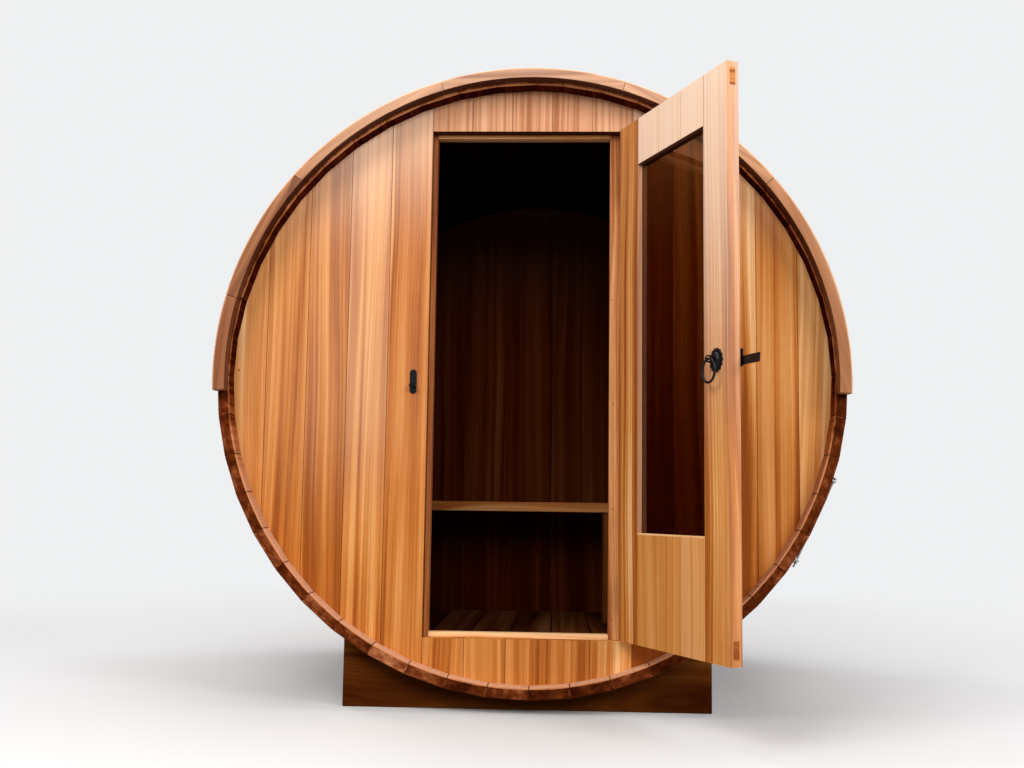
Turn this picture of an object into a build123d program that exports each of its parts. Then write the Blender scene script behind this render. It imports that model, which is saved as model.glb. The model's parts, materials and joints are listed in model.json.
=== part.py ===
from build123d import *
import math
import os

# A barrel sauna: a lying barrel of cedar staves on two cradles, with a recessed end wall at the
# front, a glazed door that stands open, a half-round roof covering with curved fascia boards, and
# a plank floor and a bench across the back. Millimetres, +Z up, the front looks along -Y.
# The origin is on the ground under the middle of the barrel.

# Barrel
barrel_length = 1610.0
barrel_radius = 976.0          # from the axis to the outer corner between two staves
stave_thickness = 36.0
stave_count = 47               # staves of full width
narrow_stave_start = 0.6       # degrees from the top, towards +X
narrow_stave_angle = 5.2
stave_joint = 0.4              # open joint between two staves
bead_width = 20.0              # of the bead on one edge of a stave, and of the cove in the other
bead_depth = 6.0
bead_flats = 4                 # the moulding cutter leaves the bead in this many flats
group_count = 8                # nodes that the staves are shared out to
ground_clearance = 44.0        # under the lowest stave

# End walls
wall_recess = 58.0             # wall face behind the ends of the staves
wall_thickness = 38.0
groove_depth = 7.0             # of the groove across the staves that holds an end wall
groove_fit = 0.3               # on each face of the wall in its groove
board_pitch = 128.8            # cover width of one wall board
opening_boards = 5             # the doorway is this many boards wide
sill_height = 136.0            # from the lowest stave up to the doorway
head_height = 133.0            # from the doorway up to the highest stave
seat_gap = 0.3                 # between a piece and the curved or flat face that it meets

# Door frame behind the front wall
frame_thickness = 38.0
post_width = 89.0
lock_stop = 14.0               # what the lock post shows in the doorway
hinge_stop = 71.0              # what the hinge post shows in the doorway
head_stop = 11.0
sill_stop = 15.0
head_depth = 89.0

# Floor
floor_rise = 98.0              # from the lowest stave up to the floor
plank_thickness = 28.0
plank_gap = 4.0
plank_count = 5
plank_chamfer = 2.0
bearer_width = 38.0
bearer_inset = 110.0           # from the inner faces of the walls
bearer_short = 12.0            # the floor planks reach this far past a bearer's end

# Bench
bench_height = 465.0           # over the floor
bench_thickness = 37.0
bench_depth = 512.0
bench_planks = 4
bench_gap = 8.0
bench_chamfer = 4.0
cleat_height = 60.0
cleat_length = 440.0
cleat_width = 70.0
leg_width = 89.0
leg_thickness = 38.0
leg_place = 268.0              # left edge of the leg, from the middle
leg_setback = 12.0             # behind the front edge of the seat

# Cradles
cradle_width = 1142.0
cradle_thickness = 38.0
cradle_inset = 100.0           # from the stave ends to the cradle's outer face

# Steel bands
band_width = 22.0
band_thickness = 1.0
band_inset = 240.0             # from the stave ends to the band's near edge
band_gap = 0.3

# Roof covering and fascia
roof_thickness = 3.5
roof_end = 92.0                # degrees from the top, each side
fascia_thickness = 40.0
fascia_rise = 7.0              # the inner arc is centred this far over the axis
fascia_cover = 34.0            # from the staves' outer corners in to the fascia's inner arc
fascia_joints = [-93.0, -75.4, -49.8, -17.2, 17.4, 50.2, 92.5]
fascia_gap = 0.5

# Door leaf
leaf_thickness = 38.0
leaf_clearance = 6.0           # round the closed leaf
stile_width = 122.8
top_rail_height = 145.0
bottom_rail_height = 326.0
glass_thickness = 6.0
glass_setback = 16.0           # from the inner face of the leaf to the glass
glass_bite = 12.0              # how far the glass reaches into its groove
groove_play = 1.0
spline_height = 48.0
spline_thickness = 17.0
spline_inset = 17.0            # from the leaf's top or bottom edge
spline_fit = 0.3
leaf_joint = 0.4
leaf_chamfer = 1.5             # along the edges of the leaf's upright boards
rest_angle = 113.5             # how far the door stands open

# Hinges
pin_radius = 3.5
knuckle_radius = 6.0
pin_stand_off = 7.0            # pin axis in front of the wall's face
hinge_height = 100.0
hinge_plate = 2.2
hinge_plate_width = 32.0
hinge_inset = 157.0            # from the leaf's top or bottom edge to the middle of a hinge
knuckle_gap = 0.5
knuckle_play = 0.8             # round a knuckle, to the other half's plate
pin_fit = 0.25

# Latch
backset = 58.0                 # spindle axis from the leaf's lock edge
latch_level = -5.0             # spindle axis, from the barrel's axis
spindle_radius = 6.0           # to the corners of the eight-sided spindle
spindle_sides = 8
spindle_play = 0.6             # in the leaf and in the rosettes
spindle_fit = 0.05             # in the latch bar
rosette_radius = 34.0
rosette_thickness = 2.0
rosette_lobes = 14
lobe_radius = 6.5
lobe_sides = 8                 # each lobe is filed with flats
dome_radius = 22.0             # to the corners of the inner rosette's hammered dome
dome_top_radius = 14.0
dome_height = 9.0
neck_radius = 7.5
neck_play = 0.6                # round the neck in the inner rosette
knob_radius = 11.0             # to the corners of the knob
knob_end_radius = 6.5
knob_sides = 8
knob_slope = 5.0               # length of the slope at each end of the knob
knob_stand_off = 24.0          # knob's middle from the leaf's inner face
ring_radius = 31.5
ring_wire = 3.5                # radius of the ring's bar, forged with this many flats
ring_facets = 8
ring_sides = 24                # straight stretches that the ring is bent from
ring_eye_rise = 2.5            # the ring's hole over the spindle axis
ring_eye_radius = 6.0
bar_height = 24.0
bar_thickness = 4.0
bar_drop = 4.0                 # middle of the bar under the spindle axis
bar_reach = 79.0               # past the leaf's lock edge
bar_tail = 16.0                # past the spindle axis, the other way
bar_slant = 3.0                # the tip's lower corner falls back this far
bar_stand_off = 5.0            # back of the bar from the leaf's outer face
boss_radius = 11.0             # to the corners of the six-sided boss
boss_sides = 6
boss_proud = 3.0               # the boss stands this far past the bar
running_gap = 0.5              # between the latch and the rosette behind it
guide_height = 48.0
guide_width = 16.0
guide_metal = 2.5
guide_inset = 7.0              # from the lock edge to the guide
guide_play = 1.5               # in front of and behind the bar
keeper_width = 22.0
keeper_height = 77.0
keeper_place = 34.6            # from the doorway's edge to the keeper
keeper_drop = 3.6              # middle of the keeper's plate under the spindle axis
keeper_plate = 2.0
keeper_seat_gap = 1.2          # under the closed bar
keeper_front_gap = 3.0         # in front of the closed bar
keeper_metal = 3.0
keeper_lip = 6.0               # the lip's height over the bar's seat
ramp_length = 11.0

half_length = barrel_length / 2
axis_height = barrel_radius + ground_clearance
inner_radius = barrel_radius - stave_thickness
stave_angle = (360 - narrow_stave_angle) / stave_count
flat_share = math.cos(math.radians(stave_angle / 2))
inner_flat = inner_radius * flat_share
bore_radius = inner_flat - seat_gap
groove_radius = inner_radius + groove_depth
wall_radius = groove_radius * flat_share - seat_gap
wall_front = -half_length + wall_recess
wall_back = wall_front + wall_thickness
opening_half = board_pitch * opening_boards / 2
opening_bottom = sill_height - inner_flat
opening_top = inner_flat - head_height
opening_height = opening_top - opening_bottom
floor_top = floor_rise - inner_flat
floor_bottom = floor_top - plank_thickness
bench_top = floor_top + bench_height

os.makedirs("parts", exist_ok=True)


def across(y):
    """A plane across the barrel at y, centred on its axis, with its normal to the front."""
    return Plane(origin=(0, y, axis_height), x_dir=(1, 0, 0), z_dir=(0, -1, 0))


def polar(radius, angle):
    """A point across the barrel, at an angle from the top towards +X."""
    turn = math.radians(angle)
    return (radius * math.sin(turn), radius * math.cos(turn))


def save(block, name):
    block.part.label = name
    export_step(block.part, f"parts/{name}.step")


def polygon(*points, mode=Mode.ADD):
    """A closed face from points, in the sketch that is open."""
    with BuildLine() as outline:
        Polyline(*points, close=True)
    make_face(outline.edges(), mode=mode)


# Staves: beaded along one edge and coved along the other, in groups of neighbours, with a groove
# across their insides near each end
joint_angles = [narrow_stave_start]
joint_angles += [narrow_stave_start + narrow_stave_angle + i * stave_angle for i in range(stave_count)]
stave_spans = list(zip(joint_angles, joint_angles[1:] + [narrow_stave_start + 360]))
group_size = (stave_count + 1) // group_count
group_names = ["top_right", "upper_right", "lower_right", "bottom_right",
               "bottom_left", "lower_left", "upper_left", "top_left"]


def corners(radius):
    """The corners of a many-sided ring round the barrel, one on each joint between two staves."""
    return [polar(radius, angle) for angle in joint_angles]


bead_radius = (bead_width ** 2 / 4 + bead_depth ** 2) / (2 * bead_depth)
bead_turn = math.asin(bead_width / 2 / bead_radius)


def joint_line(angle):
    """A joint between two staves from the outside in: straight, round the bead, straight."""
    middle = inner_radius + stave_thickness / 2
    turn = math.radians(angle)
    points = [polar(barrel_radius, angle)]
    for k in range(bead_flats + 1):
        part = bead_turn * (1 - 2 * k / bead_flats)
        x, z = polar(middle + bead_radius * math.sin(part), angle)
        rise = bead_radius * math.cos(part) - bead_radius + bead_depth
        points.append((x + rise * math.cos(turn), z - rise * math.sin(turn)))
    return points + [polar(inner_radius, angle)]


def stave_profile(start, end):
    """The cross-section of the stave between two joint angles, with its cove first and its bead last."""
    play = math.degrees(stave_joint / 2 / barrel_radius)
    polygon(*joint_line(end - play), *reversed(joint_line(start + play)))


for g, group in enumerate(group_names):
    with BuildPart() as staves:
        with BuildSketch(across(half_length)):
            for start, end in stave_spans[g * group_size:(g + 1) * group_size]:
                stave_profile(start, end)
        extrude(amount=barrel_length)
        for groove_back in (wall_back + groove_fit, -wall_front + groove_fit):
            with BuildSketch(across(groove_back)):
                polygon(*corners(groove_radius))
            extrude(amount=wall_thickness + 2 * groove_fit, mode=Mode.SUBTRACT)
    save(staves, f"staves_{group}")


# End walls, in the grooves of the staves
def wall(name, y, left, right, low, high):
    """The part of a round end wall between two heights and two sides, with its back face at y."""
    with BuildPart() as block:
        with BuildSketch(across(y)):
            Circle(wall_radius)
            with Locations(((left + right) / 2, (low + high) / 2)):
                Rectangle(right - left, high - low, mode=Mode.INTERSECT)
        extrude(amount=wall_thickness)
    save(block, name)


wall("front_wall_left", wall_back, -barrel_radius, -opening_half, -barrel_radius, barrel_radius)
wall("front_wall_right", wall_back, opening_half, barrel_radius, -barrel_radius, barrel_radius)
wall("front_wall_over_door", wall_back, -opening_half, opening_half, opening_top, barrel_radius)
wall("front_wall_under_door", wall_back, -opening_half, opening_half, -barrel_radius, opening_bottom)
wall("rear_wall", -wall_front, -barrel_radius, barrel_radius, -barrel_radius, barrel_radius)

# Door frame behind the front wall: two posts, a head and a sill that the closed leaf stops on
frame_back = wall_back + frame_thickness
lock_side = -opening_half + lock_stop
hinge_side = opening_half - hinge_stop
head_low = opening_top - head_stop
sill_top = opening_bottom + sill_stop


def frame_piece(name, left, right, low, high):
    """A flat board of the door frame, cut to the inside of the staves."""
    with BuildPart() as block:
        with BuildSketch(across(frame_back)):
            Circle(bore_radius)
            with Locations(((left + right) / 2, (low + high) / 2)):
                Rectangle(right - left, high - low, mode=Mode.INTERSECT)
        extrude(amount=frame_thickness)
    save(block, name)


frame_piece("lock_post", lock_side - post_width, lock_side, -barrel_radius, barrel_radius)
frame_piece("hinge_post", hinge_side, hinge_side + post_width, -barrel_radius, barrel_radius)
frame_piece("door_head", lock_side, hinge_side, head_low, head_low + head_depth)
frame_piece("door_sill", lock_side, hinge_side, -barrel_radius, sill_top)

# Floor planks along the barrel, on three bearers that are cut to the staves
floor_front = frame_back + seat_gap
floor_back = -wall_back - seat_gap
floor_half = math.sqrt(bore_radius ** 2 - floor_bottom ** 2)
plank_pitch = (2 * floor_half + plank_gap) / plank_count
with BuildPart() as floor_planks:
    with BuildSketch(Plane.XY.offset(axis_height + floor_bottom)):
        with Locations((0, (floor_front + floor_back) / 2)):
            with GridLocations(plank_pitch, 0, plank_count, 1):
                Rectangle(plank_pitch - plank_gap, floor_back - floor_front)
    extrude(amount=plank_thickness)
    chamfer(floor_planks.edges().filter_by(Axis.Y).group_by(Axis.Z)[-1], length=plank_chamfer)
save(floor_planks, "floor_planks")

bearer_half = floor_half - bearer_short
bearer_first = floor_front + bearer_inset
bearer_last = floor_back - bearer_inset
with BuildPart() as floor_bearers:
    for middle in (bearer_first, (bearer_first + bearer_last) / 2, bearer_last):
        with BuildSketch(across(middle + bearer_width / 2)):
            Circle(bore_radius)
            with Locations((0, floor_bottom - barrel_radius / 2)):
                Rectangle(2 * bearer_half, barrel_radius, mode=Mode.INTERSECT)
        extrude(amount=bearer_width)
save(floor_bearers, "floor_bearers")

# Bench across the back: planks from stave to stave, on a cleat at each side and one leg
bench_low = bench_top - bench_thickness
bench_front = -wall_back - seat_gap - bench_depth
bench_half = math.sqrt(bore_radius ** 2 - bench_low ** 2)
bench_pitch = (bench_depth + bench_gap) / bench_planks
with BuildPart() as bench_seat:
    with BuildSketch(Plane.XY.offset(axis_height + bench_low)):
        with Locations((0, bench_front + bench_depth / 2)):
            with GridLocations(0, bench_pitch, 1, bench_planks):
                Rectangle(2 * bench_half, bench_pitch - bench_gap)
    extrude(amount=bench_thickness)
    chamfer(bench_seat.edges().filter_by(Axis.X).group_by(Axis.Z)[-1], length=bench_chamfer)
save(bench_seat, "bench_seat")

with BuildPart() as bench_cleats:
    with BuildSketch(across(-wall_back - seat_gap)):
        Circle(bore_radius)
        with Locations((0, bench_low - cleat_height / 2)):
            Rectangle(2 * barrel_radius, cleat_height, mode=Mode.INTERSECT)
            Rectangle(2 * (bench_half - cleat_width), cleat_height, mode=Mode.SUBTRACT)
    extrude(amount=cleat_length)
save(bench_cleats, "bench_cleats")

with BuildPart() as bench_leg:
    with BuildSketch(across(bench_front + leg_setback + leg_thickness)):
        with Locations((leg_place + leg_width / 2, (bench_low + floor_top) / 2)):
            Rectangle(leg_width, bench_low - floor_top)
    extrude(amount=leg_thickness)
save(bench_leg, "bench_leg")

# Cradles: boards on edge with the barrel's arc cut in their tops
cradle_arc = barrel_radius + seat_gap
cradle_end = axis_height - math.sqrt(cradle_arc ** 2 - (cradle_width / 2) ** 2)


def cradle(name, back):
    """A cradle with its back face at y."""
    with BuildPart() as block:
        with BuildSketch(across(back)):
            with Locations((0, -axis_height + cradle_end / 2)):
                Rectangle(cradle_width, cradle_end)
            Circle(cradle_arc, mode=Mode.SUBTRACT)
        extrude(amount=cradle_thickness)
    save(block, name)


cradle("cradle_front", -half_length + cradle_inset + cradle_thickness)
cradle("cradle_rear", half_length - cradle_inset)

# Steel bands, drawn tight from corner to corner of the staves
band_inner = barrel_radius + band_gap
with BuildPart() as bands:
    for edge in (-half_length + band_inset + band_width, half_length - band_inset):
        with BuildSketch(across(edge)):
            polygon(*corners(band_inner + band_thickness))
            polygon(*corners(band_inner), mode=Mode.SUBTRACT)
        extrude(amount=band_width)
save(bands, "steel_bands")

# Roof covering over the upper half, and the curved fascia boards on the stave ends
roof_inner = band_inner + band_thickness + band_gap
roof_outer = roof_inner + roof_thickness
fascia_inner = barrel_radius - fascia_cover


def sector(radius, start, end):
    """A pie slice across the barrel from the axis, with straight sides and a round outside."""
    with BuildLine() as outline:
        Line((0, 0), polar(radius, start))
        ThreePointArc(polar(radius, start), polar(radius, (start + end) / 2), polar(radius, end))
        Line(polar(radius, end), (0, 0))
    make_face(outline.edges())


with BuildPart() as roof_covering:
    with BuildSketch(across(half_length)):
        polygon(*corners(roof_outer))
        polygon(*corners(roof_inner), mode=Mode.SUBTRACT)
        reach = 2 * barrel_radius
        polygon((0, 0), polar(reach, -roof_end), (-reach, reach), (reach, reach), polar(reach, roof_end),
                mode=Mode.INTERSECT)
    extrude(amount=barrel_length)
save(roof_covering, "roof_covering")


def fascia(name, y):
    """The fascia's butt-jointed boards with their rear face at y."""
    play = math.degrees(fascia_gap / 2 / fascia_inner)
    with BuildPart() as block:
        with BuildSketch(across(y)):
            for start, end in zip(fascia_joints[:-1], fascia_joints[1:]):
                sector(roof_outer, start + play, end - play)
            with Locations((0, fascia_rise)):
                Circle(fascia_inner, mode=Mode.SUBTRACT)
        extrude(amount=fascia_thickness)
    save(block, name)


fascia("fascia_front", -half_length)
fascia("fascia_rear", half_length + fascia_thickness)

# Door leaf. Its own planes have x along the leaf from the hinge edge, y up and the normal to the
# inside, and it stands turned open about the hinge pins, whose axis is in front of the wall.
pin_x = opening_half - leaf_clearance / 2
pin_y = wall_front - pin_stand_off
leaf_width = 2 * (opening_half - leaf_clearance)
leaf_height = opening_height - 2 * leaf_clearance
leaf_low = opening_bottom + leaf_clearance
leaf_high = leaf_low + leaf_height
swing = math.radians(rest_angle)
along = Vector(-math.cos(swing), -math.sin(swing), 0)
inward = Vector(-math.sin(swing), math.cos(swing), 0)
pin = Vector(pin_x, pin_y, axis_height)


def leaf_plane(depth, s=0.0, height=0.0):
    """The leaf's plane at a depth from its outer face, with its origin s from the hinge edge."""
    origin = pin + along * (s + leaf_clearance / 2) + inward * (depth + pin_stand_off)
    return Plane(origin=origin + Vector(0, 0, height), x_dir=along, z_dir=inward)


def span(left, right, low, high, mode=Mode.ADD):
    """A rectangle between two distances along x and two heights, in the sketch that is open."""
    with Locations(((left + right) / 2, (low + high) / 2)):
        Rectangle(right - left, high - low, mode=mode)


glass_left = stile_width
glass_right = leaf_width - stile_width
glass_low = leaf_low + bottom_rail_height
glass_high = leaf_high - top_rail_height
glass_back = leaf_thickness - glass_setback
glass_front = glass_back - glass_thickness
spline_low = leaf_low + spline_inset
spline_high = leaf_high - spline_inset
spline_front = (leaf_thickness - spline_thickness) / 2
groove = glass_bite + groove_play
latch_s = leaf_width - backset


def leaf_boards(name, spans, low, high):
    """Upright boards of the leaf, each between two distances from the hinge edge, with the mortises
    for the cross splines, the groove for the glass and the hole for the latch spindle."""
    with BuildPart() as block:
        with BuildSketch(leaf_plane(0)):
            for left, right in spans:
                span(left, right, low, high)
        extrude(amount=leaf_thickness)
        chamfer(block.edges().filter_by(Axis.Z), length=leaf_chamfer)
        with BuildSketch(leaf_plane(spline_front - spline_fit)):
            mortise = spline_height + 2 * spline_fit
            span(-leaf_width, 2 * leaf_width, spline_low - spline_fit, spline_low - spline_fit + mortise)
            span(-leaf_width, 2 * leaf_width, spline_high + spline_fit - mortise, spline_high + spline_fit)
        extrude(amount=spline_thickness + 2 * spline_fit, mode=Mode.SUBTRACT)
        with BuildSketch(leaf_plane(glass_front - groove_play / 2)):
            span(glass_left - groove, glass_right + groove, glass_low - groove, glass_high + groove)
        extrude(amount=glass_thickness + groove_play, mode=Mode.SUBTRACT)
        with BuildSketch(leaf_plane(0, latch_s, latch_level)):
            Circle(spindle_radius + spindle_play)
        extrude(amount=leaf_thickness, mode=Mode.SUBTRACT)
    save(block, name)


middle_edges = [glass_left + i * (glass_right - glass_left) / 3 for i in range(4)]
middle_spans = [(a + leaf_joint / 2, b - leaf_joint / 2) for a, b in zip(middle_edges[:-1], middle_edges[1:])]
leaf_boards("door_hinge_stile", [(0, glass_left - leaf_joint / 2)], leaf_low, leaf_high)
leaf_boards("door_lock_stile", [(glass_right + leaf_joint / 2, leaf_width)], leaf_low, leaf_high)
leaf_boards("door_top_boards", middle_spans, glass_high, leaf_high)
leaf_boards("door_bottom_boards", middle_spans, leaf_low, glass_low)

with BuildPart() as door_splines:
    with BuildSketch(leaf_plane(spline_front)):
        span(0, leaf_width, spline_low, spline_low + spline_height)
        span(0, leaf_width, spline_high - spline_height, spline_high)
    extrude(amount=spline_thickness)
save(door_splines, "door_splines")

with BuildPart() as door_glass:
    with BuildSketch(leaf_plane(glass_front)):
        span(glass_left - glass_bite, glass_right + glass_bite, glass_low - glass_bite, glass_high + glass_bite)
    extrude(amount=glass_thickness)
save(door_glass, "door_glass")

# Hinges: three knuckles on each, the outer two and the pin on the frame, the middle one on the leaf
knuckle_height = hinge_height / 3
plate_reach = pin_stand_off + hinge_plate_width
plate_middle = leaf_clearance / 2 - hinge_plate / 2
hinge_levels = (leaf_low + hinge_inset, leaf_high - hinge_inset)
with BuildPart() as frame_hinges:
    for level in hinge_levels:
        low = axis_height + level - hinge_height / 2
        with BuildSketch(Plane((pin_x, pin_y, low))):
            Circle(knuckle_radius)
            with Locations((plate_middle, plate_reach / 2)):
                Rectangle(hinge_plate, plate_reach)
        extrude(amount=hinge_height)
        with BuildSketch(Plane((pin_x, pin_y, low + knuckle_height))):
            Circle(knuckle_radius + knuckle_play)
        extrude(amount=knuckle_height, mode=Mode.SUBTRACT)
        with BuildSketch(Plane((pin_x, pin_y, low))):
            Circle(pin_radius)
        extrude(amount=hinge_height)
save(frame_hinges, "frame_hinges")

with BuildPart() as leaf_hinges:
    for level in hinge_levels:
        low = axis_height + level - hinge_height / 2
        with BuildSketch(Plane((pin_x, pin_y, low), x_dir=along)):
            with Locations((plate_middle, -plate_reach / 2)):
                Rectangle(hinge_plate, plate_reach)
            Circle(knuckle_radius + knuckle_play, mode=Mode.SUBTRACT)
        extrude(amount=hinge_height)
        with BuildSketch(Plane((pin_x, pin_y, low + knuckle_height + knuckle_gap), x_dir=along)):
            Circle(knuckle_radius)
            with Locations((plate_middle, -plate_reach / 2)):
                Rectangle(hinge_plate, plate_reach)
        extrude(amount=knuckle_height - 2 * knuckle_gap)
        with BuildSketch(Plane((pin_x, pin_y, low), x_dir=along)):
            Circle(pin_radius + pin_fit)
        extrude(amount=hinge_height, mode=Mode.SUBTRACT)
save(leaf_hinges, "leaf_hinges")

# Latch: a rosette on each face, a knob and spindle that carry the ring inside and the bar outside


def rosette_plate():
    """The rosette's outline, a round plate with a lobed rim, in the sketch that is open."""
    Circle(rosette_radius - lobe_radius)
    with PolarLocations(rosette_radius - lobe_radius, rosette_lobes):
        RegularPolygon(lobe_radius, lobe_sides)


with BuildPart() as inner_rosette:
    with BuildSketch(leaf_plane(leaf_thickness, latch_s, latch_level)):
        rosette_plate()
    extrude(amount=rosette_thickness)
    dome_foot = leaf_thickness + rosette_thickness
    shoulder = (dome_radius + dome_top_radius) / 2
    for rise, radius in ((0, dome_radius), (dome_height * 2 / 3, shoulder), (dome_height, dome_top_radius)):
        with BuildSketch(leaf_plane(dome_foot + rise, latch_s, latch_level)):
            RegularPolygon(radius, rosette_lobes)
    loft(ruled=True)
    with BuildSketch(leaf_plane(leaf_thickness, latch_s, latch_level)):
        Circle(neck_radius + neck_play)
    extrude(amount=rosette_thickness + dome_height, mode=Mode.SUBTRACT)
save(inner_rosette, "inner_rosette")

with BuildPart() as outer_rosette:
    with BuildSketch(leaf_plane(-rosette_thickness, latch_s, latch_level)):
        rosette_plate()
        Circle(spindle_radius + spindle_play, mode=Mode.SUBTRACT)
    extrude(amount=rosette_thickness)
save(outer_rosette, "outer_rosette")

neck_low = leaf_thickness + running_gap
knob_middle = leaf_thickness + knob_stand_off
bar_back = -bar_stand_off
bar_front = bar_back - bar_thickness
boss_front = bar_front - boss_proud
with BuildPart() as latch_knob:
    with BuildSketch(leaf_plane(boss_front, latch_s, latch_level)):
        RegularPolygon(spindle_radius, spindle_sides)
    extrude(amount=knob_middle - boss_front)
    with BuildSketch(leaf_plane(neck_low, latch_s, latch_level)):
        RegularPolygon(neck_radius, spindle_sides)
    extrude(amount=knob_stand_off - running_gap)
    waist = knob_radius - knob_slope
    for rise, radius in ((-knob_radius, knob_end_radius), (-waist, knob_radius), (waist, knob_radius),
                         (knob_radius, knob_end_radius)):
        with BuildSketch(leaf_plane(knob_middle + rise, latch_s, latch_level)):
            RegularPolygon(radius, knob_sides, rotation=180 / knob_sides)
    loft(ruled=True)
    eye_place = leaf_plane(knob_middle, latch_s, latch_level + ring_eye_rise).origin
    with BuildSketch(Plane(eye_place, x_dir=inward, z_dir=along)):
        RegularPolygon(ring_eye_radius, ring_facets, major_radius=False, rotation=180 / ring_facets)
    extrude(amount=2 * knob_radius, both=True, mode=Mode.SUBTRACT)
save(latch_knob, "latch_knob")

with BuildPart() as pull_ring:
    half_bend = math.pi / ring_sides
    bend_radius = ring_radius / math.cos(half_bend)
    bend_angles = [math.degrees((2 * k + 1) * half_bend) for k in range(ring_sides)]
    with BuildLine(leaf_plane(knob_middle, latch_s, latch_level + ring_eye_rise - ring_radius)) as hoop:
        Polyline((0, ring_radius), *[polar(bend_radius, angle) for angle in bend_angles], (0, ring_radius))
    with BuildSketch(Plane(hoop.line @ 0, x_dir=inward, z_dir=hoop.line % 0)):
        RegularPolygon(ring_wire, ring_facets)
    sweep(path=hoop.line, transition=Transition.RIGHT)
save(pull_ring, "pull_ring")

with BuildPart() as latch_bar:
    with BuildSketch(leaf_plane(bar_front, latch_s, latch_level)):
        tip = backset + bar_reach
        bar_top = bar_height / 2 - bar_drop
        polygon((-bar_tail, bar_top), (tip, bar_top), (tip - bar_slant, bar_top - bar_height),
                (-bar_tail, bar_top - bar_height))
    extrude(amount=bar_thickness)
    with BuildSketch(leaf_plane(boss_front, latch_s, latch_level)):
        RegularPolygon(boss_radius, boss_sides)
    extrude(amount=-rosette_thickness - running_gap - boss_front)
    with BuildSketch(leaf_plane(boss_front, latch_s, latch_level)):
        Circle(spindle_radius + spindle_fit)
    extrude(amount=-boss_front, mode=Mode.SUBTRACT)
save(latch_bar, "latch_bar")

# Guide: a staple on the outer face that the bar lies in and lifts in
guide_left = leaf_width - guide_inset - guide_width
guide_depth = -bar_front + guide_play + guide_metal
with BuildPart() as latch_guide:
    with BuildSketch(Plane(leaf_plane(0, guide_left, 0).origin, x_dir=inward, z_dir=along)):
        with Locations((-guide_depth / 2, 0)):
            Rectangle(guide_depth, guide_height)
            with Locations((guide_metal / 2, 0)):
                Rectangle(guide_depth - guide_metal, guide_height - 2 * guide_metal, mode=Mode.SUBTRACT)
    extrude(amount=guide_width)
save(latch_guide, "latch_guide")

# Keeper on the front wall: a plate with a hook that the bar drops behind, and a ramp that lifts it
bar_low = latch_level - bar_drop - bar_height / 2
keeper_right = -opening_half - keeper_place
seat_top = bar_low - keeper_seat_gap
hook_back = -bar_front + keeper_front_gap
with BuildPart() as keeper:
    with BuildSketch(across(wall_front)):
        with Locations((keeper_right - keeper_width / 2, latch_level - keeper_drop)):
            SlotOverall(keeper_height, keeper_width, rotation=90)
    extrude(amount=keeper_plate)
    with BuildSketch(Plane((keeper_right, wall_front, axis_height), x_dir=(0, -1, 0), z_dir=(-1, 0, 0))):
        lip_top = seat_top + keeper_lip
        hook_end = hook_back + keeper_metal + ramp_length
        hook_low = seat_top - keeper_metal
        polygon((0, seat_top), (hook_back, seat_top), (hook_back, lip_top), (hook_back + keeper_metal, lip_top),
                (hook_end, seat_top), (hook_end, hook_low), (0, hook_low))
    extrude(amount=keeper_width)
save(keeper, "latch_keeper")
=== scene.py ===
# %% [markdown]
# # A barrel sauna of red cedar, dressed in Blender
#
# The sauna is a lying barrel: staves make the round, two board walls close its ends, and a door with
# a tinted pane opens in the front one. The solid parts come ready made from the CAD frame, at their
# real size and in metres. What this lesson adds is what wood and iron look like: the boards with
# their joints, the grain, the end grain of the staves, the shingles, the screws, and the light.

# %% The fixed frame
import json
import math

import bmesh
import bpy
from mathutils import Matrix, Vector

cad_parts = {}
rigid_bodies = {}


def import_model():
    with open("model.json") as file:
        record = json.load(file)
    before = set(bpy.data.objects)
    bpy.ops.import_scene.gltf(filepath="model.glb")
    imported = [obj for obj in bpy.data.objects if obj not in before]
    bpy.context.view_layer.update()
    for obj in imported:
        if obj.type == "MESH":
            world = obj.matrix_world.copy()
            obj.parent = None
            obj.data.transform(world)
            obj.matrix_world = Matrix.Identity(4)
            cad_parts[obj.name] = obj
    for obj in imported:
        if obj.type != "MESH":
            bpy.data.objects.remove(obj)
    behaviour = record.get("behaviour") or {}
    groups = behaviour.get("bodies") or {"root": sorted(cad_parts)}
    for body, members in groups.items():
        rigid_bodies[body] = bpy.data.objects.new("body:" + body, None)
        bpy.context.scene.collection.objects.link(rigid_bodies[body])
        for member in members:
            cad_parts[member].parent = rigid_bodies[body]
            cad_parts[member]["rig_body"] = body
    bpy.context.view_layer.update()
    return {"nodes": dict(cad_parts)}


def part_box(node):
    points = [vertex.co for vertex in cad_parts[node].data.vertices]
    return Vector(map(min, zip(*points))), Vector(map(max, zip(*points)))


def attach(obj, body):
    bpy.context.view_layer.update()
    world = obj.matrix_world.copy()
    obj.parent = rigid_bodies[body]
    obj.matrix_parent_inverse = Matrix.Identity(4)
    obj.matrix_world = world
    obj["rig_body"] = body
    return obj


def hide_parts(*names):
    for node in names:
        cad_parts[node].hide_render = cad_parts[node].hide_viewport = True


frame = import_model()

# %% [markdown]
# ## Sizes that the pieces share
#
# A piece that touches a CAD part has to agree with it, so the numbers that describe the barrel are
# read from the frame where it can give them, and the rest is written once here. The barrel lies
# along Y, its front looks along -Y, and its axis is as high as the middle of the rear wall.

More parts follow.
